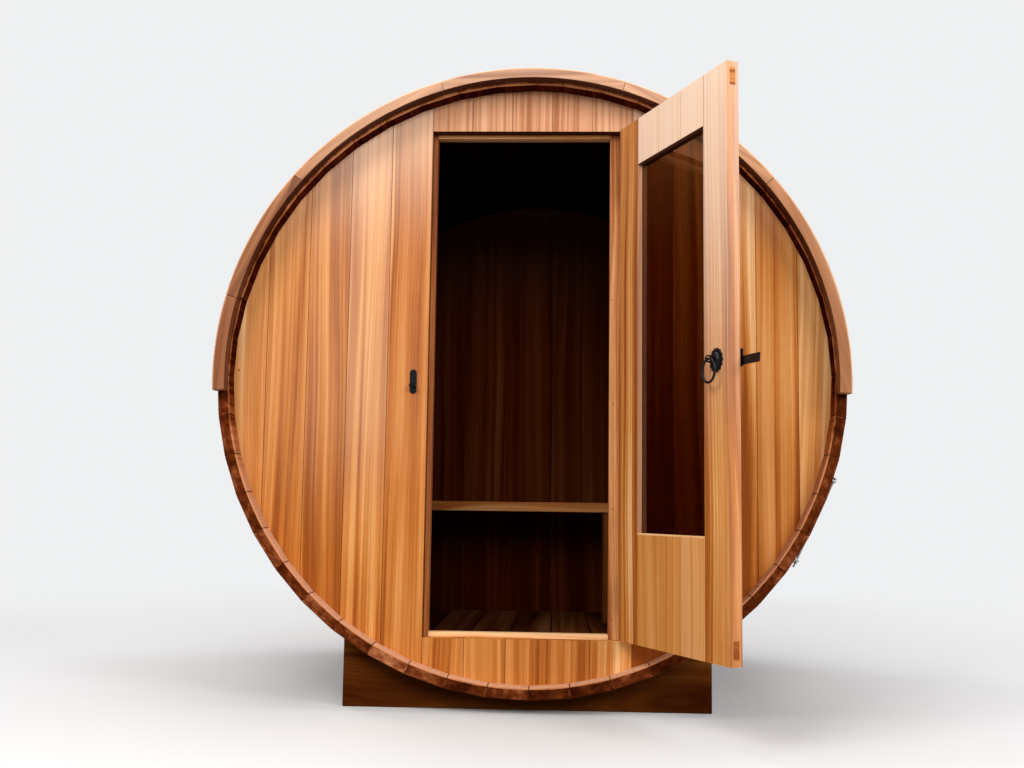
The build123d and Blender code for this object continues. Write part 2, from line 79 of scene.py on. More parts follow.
# %% The barrel in numbers
wall_low, wall_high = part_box("rear_wall")
AXIS = (wall_low.z + wall_high.z) / 2
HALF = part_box("staves_top_right")[1].y
WALL_RADIUS = (wall_high.x - wall_low.x) / 2
WALL_THICKNESS = wall_high.y - wall_low.y
WALL_FRONT = -wall_high.y
WALL_INSIDE = wall_low.y
BOARD = 0.1288
NARROW_START = 0.6
NARROW_ANGLE = 5.2
STAVE_COUNT = 47
STAVE_ANGLE = (360 - NARROW_ANGLE) / STAVE_COUNT
STAVE_RADIUS = 0.976
STAVE_THICKNESS = 0.036
ARRIS = 0.0030
print(f"axis {AXIS:.4f} m up, half length {HALF:.3f} m,",
      f"wall radius {WALL_RADIUS:.4f} m, front wall at {WALL_FRONT:.3f} m")

# %% [markdown]
# ## The camera
#
# The photograph was taken by someone who stood about three and a half metres in front, held the
# camera low and tilted it up a little, which is why the barrel leans over us. Matching such a view by
# hand takes long, so its place, tilt and focal length were solved from points on the real object. A
# camera looks down its own -Z, so it is first laid over by a quarter turn and then given its tilts.

# %% Camera at the photograph's place
IMAGE_WIDTH, SENSOR = 1024, 36.0
FOCAL_PIXELS = 1150.35
VIEWPOINT = (0.0908, -4.341, 0.6131)
YAW, PITCH, ROLL = 0.04066, 0.10907, 0.01414
camera_data = bpy.data.cameras.new("camera")
camera_data.sensor_width = SENSOR
camera_data.lens = FOCAL_PIXELS / IMAGE_WIDTH * SENSOR
camera_data.clip_start, camera_data.clip_end = 0.05, 200
camera = bpy.data.objects.new("camera", camera_data)
bpy.context.scene.collection.objects.link(camera)
camera.matrix_world = (Matrix.Translation(VIEWPOINT) @ Matrix.Rotation(YAW, 4, "Z")
                       @ Matrix.Rotation(math.pi / 2 + PITCH, 4, "X") @ Matrix.Rotation(ROLL, 4, "Z"))
bpy.context.scene.camera = camera
print(f"lens {camera_data.lens:.1f} mm, tilted up {math.degrees(PITCH):.1f} degrees")

# %% [markdown]
# ## Writing shader maths as Python
#
# A node tree that is built call by call is long and hard to read. Here a wire, which is one output
# socket, can be added, multiplied and compared like a number, and each sign adds its Math node. The
# reflected forms, such as __rsub__, let a plain number stand on the left. Every other node comes from
# one method that takes the node's type, its settings and what goes into its sockets.

# %% Wires
class Wire:
    """One output socket of a finish, which takes part in arithmetic."""

    def __init__(self, finish, socket):
        self.finish = finish
        self.socket = socket

    def math(self, operation, *others):
        return self.finish.node("ShaderNodeMath", {"operation": operation}, [self, *others])

    def reflected(self, operation, other):
        return self.finish.node("ShaderNodeMath", {"operation": operation}, [other, self])

    def __add__(self, other):
        return self.math("ADD", other)

    __radd__ = __add__

    def __sub__(self, other):
        return self.math("SUBTRACT", other)

    def __rsub__(self, other):
        return self.reflected("SUBTRACT", other)

    def __mul__(self, other):
        return self.math("MULTIPLY", other)

    __rmul__ = __mul__

    def __truediv__(self, other):
        return self.math("DIVIDE", other)

    def __rtruediv__(self, other):
        return self.reflected("DIVIDE", other)

    def __pow__(self, other):
        return self.math("POWER", other)

    def __neg__(self):
        return self.math("MULTIPLY", -1.0)

    def __mod__(self, other):
        return self.math("FLOORED_MODULO", other)

    def __gt__(self, other):
        return self.math("GREATER_THAN", other)

    def __lt__(self, other):
        return self.math("LESS_THAN", other)

    def floor(self):
        return self.math("FLOOR")

    def size(self):
        return self.math("ABSOLUTE")

    def highest(self, other):
        return self.math("MAXIMUM", other)

    def rise(self, low, high):
        """0 below low, 1 above high, and a smooth slope between. With high under low it falls."""
        kind = {"interpolation_type": "SMOOTHSTEP", "clamp": True}
        sockets = {"Value": self, "From Min": low, "From Max": high}
        return self.finish.node("ShaderNodeMapRange", kind, sockets)


print("what a wire can do besides its signs:", [name for name in vars(Wire) if name[0] != "_"])

# %% Finishes
class Finish:
    """A material, or a world, whose node tree is written as expressions."""

    def __init__(self, name, world=None):
        self.material = world or bpy.data.materials.new(name)
        self.material.use_nodes = True
        self.tree = self.material.node_tree
        self.tree.nodes.clear()

    def node(self, kind, settings=None, inputs=(), output=0):
        """Adds a node, sets it up, fills its sockets by name or in order, and gives one output."""
        made = self.tree.nodes.new(kind)
        for name, value in (settings or {}).items():
            if name == "stops":
                self.fill_ramp(made.color_ramp, value)
            else:
                setattr(made, name, value)
        pairs = inputs.items() if isinstance(inputs, dict) else enumerate(inputs)
        for key, value in pairs:
            if isinstance(value, Wire):
                self.tree.links.new(value.socket, made.inputs[key])
            else:
                made.inputs[key].default_value = value
        return Wire(self, made.outputs[output])

    @staticmethod
    def fill_ramp(ramp, stops):
        while len(ramp.elements) < len(stops):
            ramp.elements.new(0.5)
        for element, (place, colour) in zip(ramp.elements, stops):
            element.position = place
            element.color = colour

    def place(self):
        """Object coordinates as one vector."""
        return self.node("ShaderNodeTexCoord", output="Object")

    def split(self, vector):
        """The three numbers of a vector, each a wire."""
        parts = self.node("ShaderNodeSeparateXYZ", inputs=[vector])
        return [Wire(self, socket) for socket in parts.socket.node.outputs]

    def xyz(self):
        """The three Object coordinates, each a wire."""
        return self.split(self.place())

    def cloud(self, x, y, z, detail=1.0, rough=0.5):
        """Smooth noise between 0 and 1, whose lumps are about one unit of x, y and z wide."""
        place = self.node("ShaderNodeCombineXYZ", inputs=[x, y, z])
        sockets = {"Vector": place, "Scale": 1.0, "Detail": detail, "Roughness": rough}
        return self.node("ShaderNodeTexNoise", {"noise_dimensions": "3D"}, sockets, "Fac")

    def grain(self, *a_metre, detail=1.0):
        """Noise on the piece itself, with so many lumps a metre along x, y and z."""
        return self.cloud(*(wire * count for wire, count in zip(self.xyz(), a_metre)), detail)

    def chance(self, number, salt=0.0):
        """A number between 0 and 1 that is drawn afresh for each whole number that comes in."""
        return self.node("ShaderNodeTexWhiteNoise", {"noise_dimensions": "1D"}, {"W": number + salt}, "Value")

    def blend(self, share, first, second, kind="MIX"):
        settings = {"data_type": "RGBA", "blend_type": kind, "clamp_factor": True}
        return self.node("ShaderNodeMix", settings, {0: share, 6: first, 7: second}, 2)

    def ramp(self, value, stops):
        return self.node("ShaderNodeValToRGB", {"stops": stops}, [value])

    def bump(self, height, distance, strength=1.0):
        sockets = {"Height": height, "Distance": distance, "Strength": strength}
        return self.node("ShaderNodeBump", None, sockets)

    def surface(self, **sockets):
        """The shader itself. Its constant numbers and colours sit on its own sockets."""
        inputs = {name.replace("_", " "): value for name, value in sockets.items()}
        self.close(self.node("ShaderNodeBsdfPrincipled", None, inputs, "BSDF"))
        return self.material

    def close(self, shader, kind="ShaderNodeOutputMaterial"):
        end = self.tree.nodes.new(kind)
        self.tree.links.new(shader.socket, end.inputs["Surface"])


def tint(*colour):
    """A colour as a paint programme writes it, 0 to 255, made linear for the shader."""
    shares = [value / 255 for value in colour]
    linear = [share / 12.92 if share <= 0.04045 else ((share + 0.055) / 1.055) ** 2.4 for share in shares]
    return (*linear, 1.0)


def tints(*colours):
    return [tint(*colour) for colour in colours]


print("a mid cedar, made linear:", [round(c, 3) for c in tint(190, 122, 74)])

# %% [markdown]
# ## Wood that is cut from a log
#
# A picture of wood that is wrapped round a board shows the same grain on its face and its edge, which
# real wood never does. Here each board is cut from a log of its own: the shader asks how far a point
# lies from that log's heart, and that distance picks the year ring. Boards with the heart far to one
# side show the straight lines of quarter-sawn cedar, and those with it just behind show arches. On a
# board's end the same rings show as arcs, with nothing more to do.
#
# Each use of the wood turns a point's place into four wires: how far it is along the board, across
# its face and through its thickness, and the number of the board, from which its log, tone and shift
# are drawn.

# %% Cedar
RINGS_A_METRE = 330.0
TONE_PLACES = (0.10, 0.32, 0.52, 0.72, 0.92)
# The pale colour serves both sun paling and painted light, and the dark joint colour serves both dust and
# painted shade.
SUN_PALED_AND_PAINTED_LIGHT, SHADED, SEAM_DUST_AND_SHADE = tint(242, 212, 188), tint(100, 53, 28), tint(56, 24, 10)
REDDER, WEATHERED = tint(226, 178, 164), tint(104, 76, 60)
END_TONES = [(0.12, tint(40, 11, 3)), (0.44, tint(80, 32, 10)), (0.68, tint(118, 56, 25)),
             (1.0, tint(196, 126, 84))]


def from_heart(wood, along, across, through, board, wander):
    """How far a point lies from the heart of its board's log, which leans and wanders a little."""
    side = wood.chance(board, 0.31) - 0.5
    heart_side = side.math("SIGN") * 0.13 + side * 0.36
    heart_deep = wood.chance(board, 0.57) * 0.10 + 0.03
    lean = (wood.chance(board, 0.73) - 0.5) * 0.026
    from_side = across - heart_side + along * lean + wander * 0.065
    from_deep = through + heart_deep
    return (from_side * from_side + from_deep * from_deep) ** 0.5


def cedar(name, cut, tones, place=Finish.xyz, lift=None, bleach=None, seam=None, room=None, ends=None,
          contrast=1.0, gloss=0.5, weather=0.0, spread=1.0, sheen=0.22, paler=0.0, lines=0.12, broad=1.0,
          narrow=1.0):
    """A cedar finish. place gives the three wires of a point's place, and cut turns them into the wires
    along, across, through and board. tones are five colours from the darkest streak to the palest. lift
    adds to the tone, in places as painted light and shade, and the next four are masks: bleach of what
    the sun has paled and of painted light, seam of the dust and painted shade in the joints, room of the
    painted shade on what faces the dark room and under other parts, and ends of the end grain. Dry, planed
    cedar has little sheen. spread is how much boards differ, paler lifts the tone of a whole finish, lines
    draws thin dark streaks, broad is the share of the wide bands, and narrow packs the streaks closer."""
    wood = Finish(name)
    spot = place(wood)
    along, across, through, board = cut(*spot)
    shift = wood.chance(board, 0.19) * 9.0
    wander = wood.cloud(across * 2.0, through * 2.0, along * 0.9 + shift * 3.0) - 0.5
    radius = from_heart(wood, along, across, through, board, wander)
    close = radius * narrow
    growth = wood.cloud(close * 130.0 + shift, shift * 1.7, along * 0.5, 2.0, 0.6) - 0.5
    stripes = wood.cloud(close * 62.0 + shift * 3.3, shift, along * 0.4).rise(0.34, 0.66) - 0.5
    fine = wood.cloud(close * 84.0 + shift * 4.7, shift * 1.3, along * 0.3) - 0.5
    line = fine.size().rise(0.11, 0.0) * lines
    bands = wood.cloud(radius * 20.0 + shift * 2.1, shift, along * 0.5) - 0.5
    ring = (radius * RINGS_A_METRE + wander * 3.0) % 1.0
    late = ring.rise(0.5, 0.92) * ring.rise(1.0, 0.95)
    fibre = wood.cloud(across * 700.0, through * 700.0, along * 12.0 + shift, 2.0, 0.6) - 0.5
    slow = wood.cloud(across * 4.0 + shift, through * 4.0, along * 1.4) - 0.5
    clear = wood.cloud(across * 9.0 + shift * 0.7, shift, along * 1.1).rise(0.34, 0.64)
    tone = growth * (0.5 + clear * 0.9) + stripes * (0.24 + clear * 0.26) + bands * (1.1 * broad)
    tone = (tone + fibre * 0.35 + slow * 0.4 - late * 0.07) * contrast
    tone = tone + (0.52 + paler) + (wood.chance(board, 0.91) - 0.5) * 0.20 * spread - line
    raised = lift(*spot) if lift else 0.0
    colour = wood.ramp(tone + raised, list(zip(TONE_PLACES, tones)))
    redness = (wood.chance(board, 0.43) - 0.4).highest(0.0) * 0.45 * spread
    colour = wood.blend(redness, colour, REDDER, "MULTIPLY")
    # Sun paling, and painted light where the bleach mask asks for it.
    if bleach:
        colour = wood.blend(bleach(*spot) * (1.0 + growth * 0.7 - line * 1.1), colour, SUN_PALED_AND_PAINTED_LIGHT)
    roughness = gloss + growth * 0.10 + fibre * 0.2
    height = growth * 0.5 + fibre * 0.7 - late * 0.35
    if weather:
        cloudy = wood.cloud(across * 9.0, through * 9.0, along * 2.2, 3.0)
        colour = wood.blend(cloudy.rise(0.35, 0.75) * weather, colour, WEATHERED)
        roughness = roughness + cloudy * weather * 0.2
    # Painted shade on what faces the dark room and under other parts.
    if room:
        colour = wood.blend(room(*spot), colour, SHADED, "MULTIPLY")
    # Dust and painted shade in the joints.
    if seam:
        colour = wood.blend(seam(across), colour, SEAM_DUST_AND_SHADE)
    if ends:
        shown = ends(*spot)
        pores = wood.cloud(across * 520.0, through * 520.0, along * 9.0, 2.0, 0.7)
        blotch = wood.cloud(across * 42.0, through * 60.0, shift, 2.0) - 0.5
        dark = (ring.rise(0.2, 0.9) * 0.25 + pores * 0.4 + bands * 0.6 + blotch * 0.8
                + wood.chance(board, 0.77) * 0.24)
        colour = wood.blend(shown, colour, wood.ramp(dark + raised, END_TONES))
        roughness = roughness + shown * 0.18
        height = height + shown * pores * 0.6
    return wood.surface(Base_Color=colour, Roughness=roughness, Normal=wood.bump(height, 0.0005, 0.5),
                        Specular_IOR_Level=sheen)


print("one ring of the wood is", round(1000 / RINGS_A_METRE, 1), "mm wide")

# %% [markdown]
# The same log serves every piece, so what differs is the cut. A wall board stands, and a stave lies
# along the barrel and bends round it. Both are found from a point's place alone: the board from how
# far right it is, the stave from its angle to the crown.

# %% Cuts for walls and staves
STAVE_SALT, STAVE_STEP = 7.0, 2.13


def from_axis(x, z, centre=AXIS):
    """How far a point lies from the barrel's axis."""
    return (x * x + (z - centre) * (z - centre)) ** 0.5


def from_crown(x, z):
    """The angle from the crown in radians, growing to the right as one looks at the front."""
    return x.math("ARCTAN2", z - AXIS)


def board_at(x):
    return (x / BOARD + 0.5).floor()


def upright_boards(x, y, z):
    """Boards of the end walls: they stand, and one is as wide as the board pitch."""
    board = board_at(x)
    return z - 1.0, x - board * BOARD, y, board * 1.37 + (y > 0.0) * 51.0


def of_staves(x, y, z):
    """Staves lie along Y round the axis, and the first of them is the narrow one by the crown."""
    past = (from_crown(x, z) * math.degrees(1) - (NARROW_START + NARROW_ANGLE)) % 360.0
    number = (past / STAVE_ANGLE).floor()
    side = (past / STAVE_ANGLE - number - 0.5) * STAVE_ANGLE * math.radians(1) * STAVE_RADIUS
    return y, side, from_axis(x, z) - STAVE_RADIUS, number * STAVE_STEP + STAVE_SALT


print("a stave covers", round(STAVE_ANGLE, 2), "degrees, a wall board", BOARD * 1000, "mm")

# %% [markdown]
# Years of sun and shade make the boards differ. The crown is paled, the foot of the walls is richer,
# and a few boards were pale or dark from the start. The board behind the open leaf is darkened as painted
# shade, and the one at the far right is lifted as painted light against the overhang's shade. A mask says
# where, as a number from 0 to 1, and is worked out from the place as well. The room is much darker than
# daylight, so what faces it gets painted shade.

# %% Masks for walls
# Board 3, behind the open leaf, is darkened as painted shade, and board 7 is lifted as painted light against
# the overhang's shade. The others are the boards' own tones.
WALL_TONES_AND_PAINTED_LIGHT = {-7: 0.06, -6: 0.10, -5: -0.03, -4: 0.04, -3: -0.27, 3: -0.35, 5: -0.10, 6: -0.13, 7: 0.22}
WALL_PALED = {-7: 0.05, -6: 0.06, -5: 0.10, -4: 0.19, -3: 0.05}
FACES_ROOM = WALL_INSIDE + 0.012
OVER_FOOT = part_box("front_wall_over_door")[0].z


def only(number, wanted):
    """1 where a whole number is the wanted one, and 0 elsewhere."""
    return (1.0 - (number - wanted).size()).highest(0.0)


def by_board(board, shares):
    """Each board's own share, and 0 for a board that isn't named."""
    return sum(only(board, number) * share for number, share in shares.items())


def wall_lift(x, y, z):
    """Some boards of the front wall are paler or darker than chance makes them, and one is paler at its
    foot. One behind the open leaf is darkened as painted shade, and one at the far right is lifted as painted
    light. Those right of the doorway are richer low down, and all are near the ground. The foot of the rear
    wall, under the bench, is darkened as painted shade of the bench."""
    board = board_at(x)
    # Painted shade of the bench on the foot of the rear wall.
    painted_bench_shade = (y.size() < FACES_ROOM) * z.rise(0.66, 0.56)
    right = (board > 2.5) * (board < 6.5) * z.rise(1.15, 0.65) * 0.16
    pale_foot = only(board, -4) * z.rise(0.8, 0.45) * 0.28
    front = by_board(board, WALL_TONES_AND_PAINTED_LIGHT) + pale_foot - right - z.rise(1.0, 0.3) * 0.08
    return (y < 0.0) * front - painted_bench_shade * 0.35


def crown_bleach(x, y, z):
    """The sun has paled the top of the walls, and some of the boards left of the doorway."""
    return z.rise(1.35, 2.0) * 0.52 + by_board(board_at(x), WALL_PALED) * (y < 0.0) * z.rise(0.45, 1.0)


# Painted shade on the wall faces that look into the dark room.
def wall_painted_shade(x, y, z):
    return (y.size() < FACES_ROOM) * 0.95


def over_door_painted_shade(x, y, z):
    """Painted shade under the boards over the doorway and on their faces toward the room."""
    return ((z < OVER_FOOT + 0.0008) * 0.9).highest((y > -WALL_INSIDE - 0.0006) * 0.95)


print("boards with a tone of their own:", sorted(WALL_TONES_AND_PAINTED_LIGHT))

# %% [markdown]
# Staves differ in another way. Their inner side faces the dark room and gets painted shade, except where
# they stand out in front of an end wall: there what looks up gets painted light, and what looks down
# painted shade. The inner arris at their ends gets a painted highlight.

# %% Masks for staves, and seams
PALE_STAVE = 26
MID_WALL = WALL_INSIDE + 0.02
STAVE_INSIDE = STAVE_RADIUS - STAVE_THICKNESS + 0.004


def stave_ends(x, y, z):
    return y.size() > HALF - 0.0006


def overhang(y, radius):
    """Where the staves stand out in front of an end wall, on their inner side."""
    return (radius < STAVE_INSIDE) * (y.size() > MID_WALL)


def stave_lift(x, y, z):
    """One stave low on the left is pale, and the outer side is paler than the rest. The inner arris at the
    ends, the overhang's foot and the ends under the fascia get painted light, and the crown inside the room
    is darkest, as painted shade."""
    radius = from_axis(x, z)
    at_end = y.size() > HALF - ARRIS
    # Painted highlight on the inner arris at the ends.
    painted_arris_highlight = at_end * (radius < STAVE_RADIUS - STAVE_THICKNESS + ARRIS) * 0.3
    # Painted light on the overhang's foot, where it looks up.
    low = overhang(y, radius) * z.rise(AXIS + 0.1, AXIS - 0.4) * 0.7
    # Painted light on the ends under the fascia.
    painted_end_light = at_end * z.rise(AXIS + 0.5, AXIS + 0.85) * 0.35
    outer = (radius > STAVE_RADIUS - 0.008) * (1.0 - at_end) * 0.14
    # Painted shade on the crown inside the room.
    crown = (y.size() < MID_WALL) * (radius < STAVE_RADIUS - 0.005) * z.rise(AXIS + 0.2, AXIS + 0.7) * 0.5
    number = of_staves(x, y, z)[3] - (PALE_STAVE * STAVE_STEP + STAVE_SALT)
    return painted_arris_highlight.highest(low) + (number.size() < 0.1) * 0.42 - crown + painted_end_light + outer


def stave_painted_light(x, y, z):
    """Painted light on the overhang in front of an end wall, where it looks up."""
    return overhang(y, from_axis(x, z)) * z.rise(AXIS - 0.1, AXIS - 0.5) * 0.3


def stave_painted_shade(x, y, z):
    """Painted shade: full in the room, and nearly so where the overhang in front of an end wall looks down.
    """
    inner = (from_axis(x, z) < STAVE_INSIDE) * (y.size() < HALF - ARRIS)
    return inner * ((y.size() < MID_WALL) * 0.98).highest(z.rise(AXIS - 0.35, AXIS + 0.1) * 0.86)


def seam(half, start, end, share):
    """Dust and painted shade in a joint. It grows from start to end, both counted in from the board's edge.
    """
    return lambda across: across.size().rise(half - start, half - end) * share


def board_seam(share):
    return seam(BOARD / 2, 0.0016, 0.0006, share)


stave_seam = seam(STAVE_ANGLE * math.radians(0.5) * STAVE_RADIUS, 0.0030, 0.0010, 0.8)
print("the staves stand", round((HALF + WALL_FRONT) * 1000), "mm out of each end wall")

# %% Finishes of walls and staves
GOLDEN = tints((142, 74, 28), (177, 104, 44), (199, 131, 68), (217, 157, 96), (237, 191, 140))
RUSTY = tints((72, 28, 8), (104, 46, 16), (134, 66, 26), (162, 90, 42), (188, 120, 68))
ROSY = tints((132, 78, 50), (168, 112, 78), (194, 141, 106), (210, 161, 127), (226, 186, 154))
wall_cedar = cedar("wall_cedar", upright_boards, GOLDEN, lift=wall_lift, bleach=crown_bleach,
                   seam=board_seam(0.5), room=wall_painted_shade, sheen=0.0, contrast=0.85, lines=0.14, narrow=1.35)
over_cedar = cedar("over_cedar", upright_boards, ROSY, contrast=0.35, seam=board_seam(0.5), room=over_door_painted_shade,
                   sheen=0.0, spread=0.4, lines=0.20, broad=0.2, paler=0.07, narrow=1.6)
under_cedar = cedar("under_cedar", upright_boards, GOLDEN, contrast=0.6, seam=board_seam(0.5), sheen=0.0,
                    paler=-0.03, spread=0.15, lines=0.16, broad=0.4, narrow=1.3)
stave_cedar = cedar("stave_cedar", of_staves, RUSTY, contrast=0.7, ends=stave_ends, weather=0.10,
                    lift=stave_lift, bleach=stave_painted_light, seam=stave_seam, room=stave_painted_shade, sheen=0.0,
                    spread=1.7)
print("cedar finishes:", [m.name for m in (wall_cedar, over_cedar, under_cedar, stave_cedar)])

# %% [markdown]
# Planks and posts are straight pieces, so one function can make their cuts: it needs the axis that a
# piece lies along, the distance from one plank to the next, and where the first one starts. What stands
# in the dark of the room is made darker, because studio lamps reach in further than daylight does.

# %% Wood for the straight pieces
def straight(axis, pitch, start=0.0, salt=0.0, centre=(0.0, 0.0, 0.0)):
    """A cut for planks that lie along x, y or z. pitch is from one plank to the next, across them."""
    order = {"x": (0, 1, 2), "y": (1, 0, 2), "z": (2, 0, 1)}[axis]

    def cut(*place):
        along, across, through = (place[i] - centre[i] for i in order)
        board = ((across - start) / pitch).floor()
        return along, across - start - (board + 0.5) * pitch, through, board * 1.91 + salt
    return cut


def always_shaded(x, y, z):
    return 0.78


floor_low, floor_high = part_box("floor_planks")
bench_low, bench_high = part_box("bench_seat")
FLOOR_GAP, BENCH_GAP = 0.004, 0.008
plank = (floor_high.x - floor_low.x + FLOOR_GAP) / 5
bench_plank = (bench_high.y - bench_low.y + BENCH_GAP) / 4
floor_cut = straight("y", plank, floor_low.x - FLOOR_GAP / 2, 3.0, (0, 0, AXIS))
bench_cut = straight("x", bench_plank, bench_low.y - BENCH_GAP / 2, 11.0, (0, 0, 0.62))
cradle_cut = straight("x", 1.0, -2.0, 23.0, (0, 0, 0.1))
post_cut = straight("z", 0.2, -0.4, 31.0, (0, 0, 1.0))
cross_cut = straight("x", 2.0, -1.0, 37.0, (0, 0, 1.0))
leg_cut = straight("z", 0.2, -0.4, 47.0, (0, 0, 0.4))
bearer_cut = straight("x", 0.3, -0.9, 41.0, (0, 0, 0.1))
cleat_cut = straight("y", 0.5, -1.0, 43.0, (0, 0, 0.6))

BROWN = tints((104, 52, 22), (140, 76, 34), (170, 100, 50), (192, 126, 74), (214, 156, 106))
DARK = tints((40, 14, 3), (60, 25, 6), (80, 38, 10), (100, 54, 18), (124, 74, 32))
floor_cedar = cedar("floor_cedar", floor_cut, BROWN, sheen=0.0, room=always_shaded)
bench_cedar = cedar("bench_cedar", bench_cut, GOLDEN, paler=0.16)
cradle_wood = cedar("cradle_wood", cradle_cut, DARK, gloss=0.62, sheen=0.0, paler=0.2)
post_cedar = cedar("post_cedar", post_cut, BROWN, contrast=1.4, paler=-0.24)
cross_cedar = cedar("cross_cedar", cross_cut, GOLDEN, paler=0.26)
leg_cedar = cedar("leg_cedar", leg_cut, DARK, sheen=0.0, paler=0.2)
bearer_cedar = cedar("bearer_cedar", bearer_cut, BROWN)
cleat_cedar = cedar("cleat_cedar", cleat_cut, DARK, sheen=0.0)
print(f"floor planks {plank * 1000:.1f} mm apart, bench planks {bench_plank * 1000:.1f} mm apart")

# %% [markdown]
# The fascia boards are sawn from wide stock along the curve, so their grain runs straight while the
# board bends. Each is its own board, between two joints that are counted from the crown.

# %% Wood for the fascia
FASCIA_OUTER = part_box("fascia_front")[1].z - AXIS
FASCIA_FACE = -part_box("fascia_front")[0].y
FASCIA_JOINTS = (-75.4, -49.8, -17.2, 17.4, 50.2)
FASCIA_ENDS = (-92.6, 92.5)
FASCIA_INNER, FASCIA_RAISED = 0.942, 0.007
WEDGE_START, WEDGE_LENGTH, WEDGE_WIDTH = -55.0, 5.0, 0.034


def fascia_lift(x, y, z):
    """The outer arris of the fascia carries a painted highlight. The crown and the right side are paler, and
    the low left is darker. Under one joint the board keeps a wedge of dark wood."""
    radius = from_axis(x, z)
    outer = radius.rise(FASCIA_OUTER - 0.0065, FASCIA_OUTER - 0.0025)
    # Painted highlight along the outer arris.
    arris = outer * (y.size() > FASCIA_FACE - 0.004)
    turn = from_crown(x, z) * math.degrees(1)
    share = (turn - WEDGE_START) / WEDGE_LENGTH
    in_wedge = (share > 0.0) * (radius < FASCIA_INNER + 0.002 + share * WEDGE_WIDTH)
    wedge = (turn < FASCIA_JOINTS[1]) * in_wedge * (y < 0.0)
    right = x.rise(0.3, 0.9) * 0.16
    low_left = (x < 0.0) * z.rise(AXIS + 0.4, AXIS + 0.1) * 0.14
    return arris * 0.5 + z.rise(AXIS + 0.5, AXIS + 0.95) * 0.10 - 0.06 - wedge * 0.28 + right - low_left


def fascia_bleach(x, y, z):
    return z.rise(AXIS + 0.5, AXIS + 0.95) * 0.22


def fascia_painted_shade(x, y, z):
    """Painted shade on the inner side of the curve, which looks down."""
    under = from_axis(x, z, AXIS + FASCIA_RAISED) < FASCIA_INNER + 0.0009
    return under * (0.55 + z.rise(AXIS + 0.1, AXIS + 0.5) * 0.42)


def of_fascia(x, y, z):
    """Each board's grain runs square to the radius through its middle."""
    turn = from_crown(x, z) * math.degrees(1)
    ends = (FASCIA_ENDS[0], *FASCIA_JOINTS, FASCIA_ENDS[1])
    middles = [(start + end) / 2 for start, end in zip(ends[:-1], ends[1:])]
    board, middle = 0.0, middles[0]
    for joint, before, after in zip(FASCIA_JOINTS, middles[:-1], middles[1:]):
        past = turn > joint
        board = board + past
        middle = middle + past * (after - before)
    lean = middle * math.radians(1)
    along = x * lean.math("COSINE") - (z - AXIS) * lean.math("SINE")
    across = x * lean.math("SINE") + (z - AXIS) * lean.math("COSINE")
    return along, across - STAVE_RADIUS, y, board * 3.7 + (y > 0.0) * 17.0 + 61.0


TAN = tints((104, 58, 34), (138, 86, 54), (166, 112, 75), (187, 135, 95), (211, 165, 127))
fascia_cedar = cedar("fascia_cedar", of_fascia, TAN, contrast=0.55, weather=0.10, spread=0.6,
                     lift=fascia_lift, bleach=fascia_bleach, room=fascia_painted_shade, sheen=0.15)
print("fascia boards:", len(FASCIA_JOINTS) + 1)

# %% [markdown]
# The leaf stands open, so its boards lie at a slant to the axes. A Mapping node turns the coordinates
# back, and from then on the wood is worked out as if the leaf were shut: s runs along the leaf from
# its hinge edge, depth through it from its outer face, and height up from the barrel's axis.

# %% Wood for the leaf
LEAF_WIDTH, LEAF_THICKNESS = 0.632, 0.038
LEAF_TRIM = 0.006
STILE = BOARD - LEAF_TRIM
SWING = math.radians(113.5)
PIN = Vector((0.319, WALL_FRONT - 0.007, AXIS))
LEAF_ALONG = Vector((-math.cos(SWING), -math.sin(SWING), 0))
LEAF_INWARD = Vector((-math.sin(SWING), math.cos(SWING), 0))
LEAF_ORIGIN = PIN + LEAF_ALONG * 0.003 + LEAF_INWARD * 0.007
GLASS_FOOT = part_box("door_bottom_boards")[1].z
RAIL_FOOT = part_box("door_top_boards")[0].z


def leaf_xyz(wood):
    """Object coordinates turned to the leaf: along it, through it, and up."""
    turn = math.atan2(LEAF_ALONG.y, LEAF_ALONG.x)
    sockets = {"Vector": wood.place(), "Location": LEAF_ORIGIN, "Rotation": (0, 0, turn)}
    s, sideways, height = wood.split(wood.node("ShaderNodeMapping", {"vector_type": "TEXTURE"}, sockets))
    return s, -sideways, height


def leaf_boards(s, depth, height):
    board = ((s + LEAF_TRIM) / BOARD).floor()
    return height, s - (board + 0.5) * BOARD, depth, board * 2.9 + 83.0


def leaf_splines(s, depth, height):
    return s, height, depth, (height > 0.0) * 5.0 + 97.0


def leaf_paling_and_painted_light(s, depth, height):
    """The inner face is paled, the lock edge and the outer face less, and the hinge stile hardly at all. The
    paling grows upwards, as painted light."""
    edge = s > LEAF_WIDTH - 0.0012
    face = (s > STILE + 0.0001) - edge
    reveal = ((s - STILE).size() < 0.0006) * (depth > 0.022)
    inner = depth > 0.001
    # Painted light that grows upwards.
    upwards = height.rise(-0.40, 0.78)
    on_edge = edge * (0.12 + upwards * 0.32 - (depth > 0.016) * (0.05 + upwards * 0.14))
    paled = upwards * inner * (0.05 + face * 0.87) + on_edge
    return paled.highest(reveal * 0.28).highest(upwards * (1.0 - inner) * 0.25)


def leaf_lift(s, depth, height):
    """The lock edge shows two halves, and the inner one is darker. So is the hinge stile inside. The whole
    lock edge is darkened as painted shade, less so higher up.
    """
    wave = height.finish.cloud(height * 9.0, 3.1, 0.0, 2.0) * 0.008
    edge = s > LEAF_WIDTH - 0.0012
    # Painted shade on the lock edge, less so higher up.
    shaded = 0.38 - height.rise(-0.3, 0.6) * 0.08
    return (s < STILE + 0.0001) * (depth > 0.001) * -0.22 - edge * (shaded + (depth > 0.016 + wave) * 0.08)


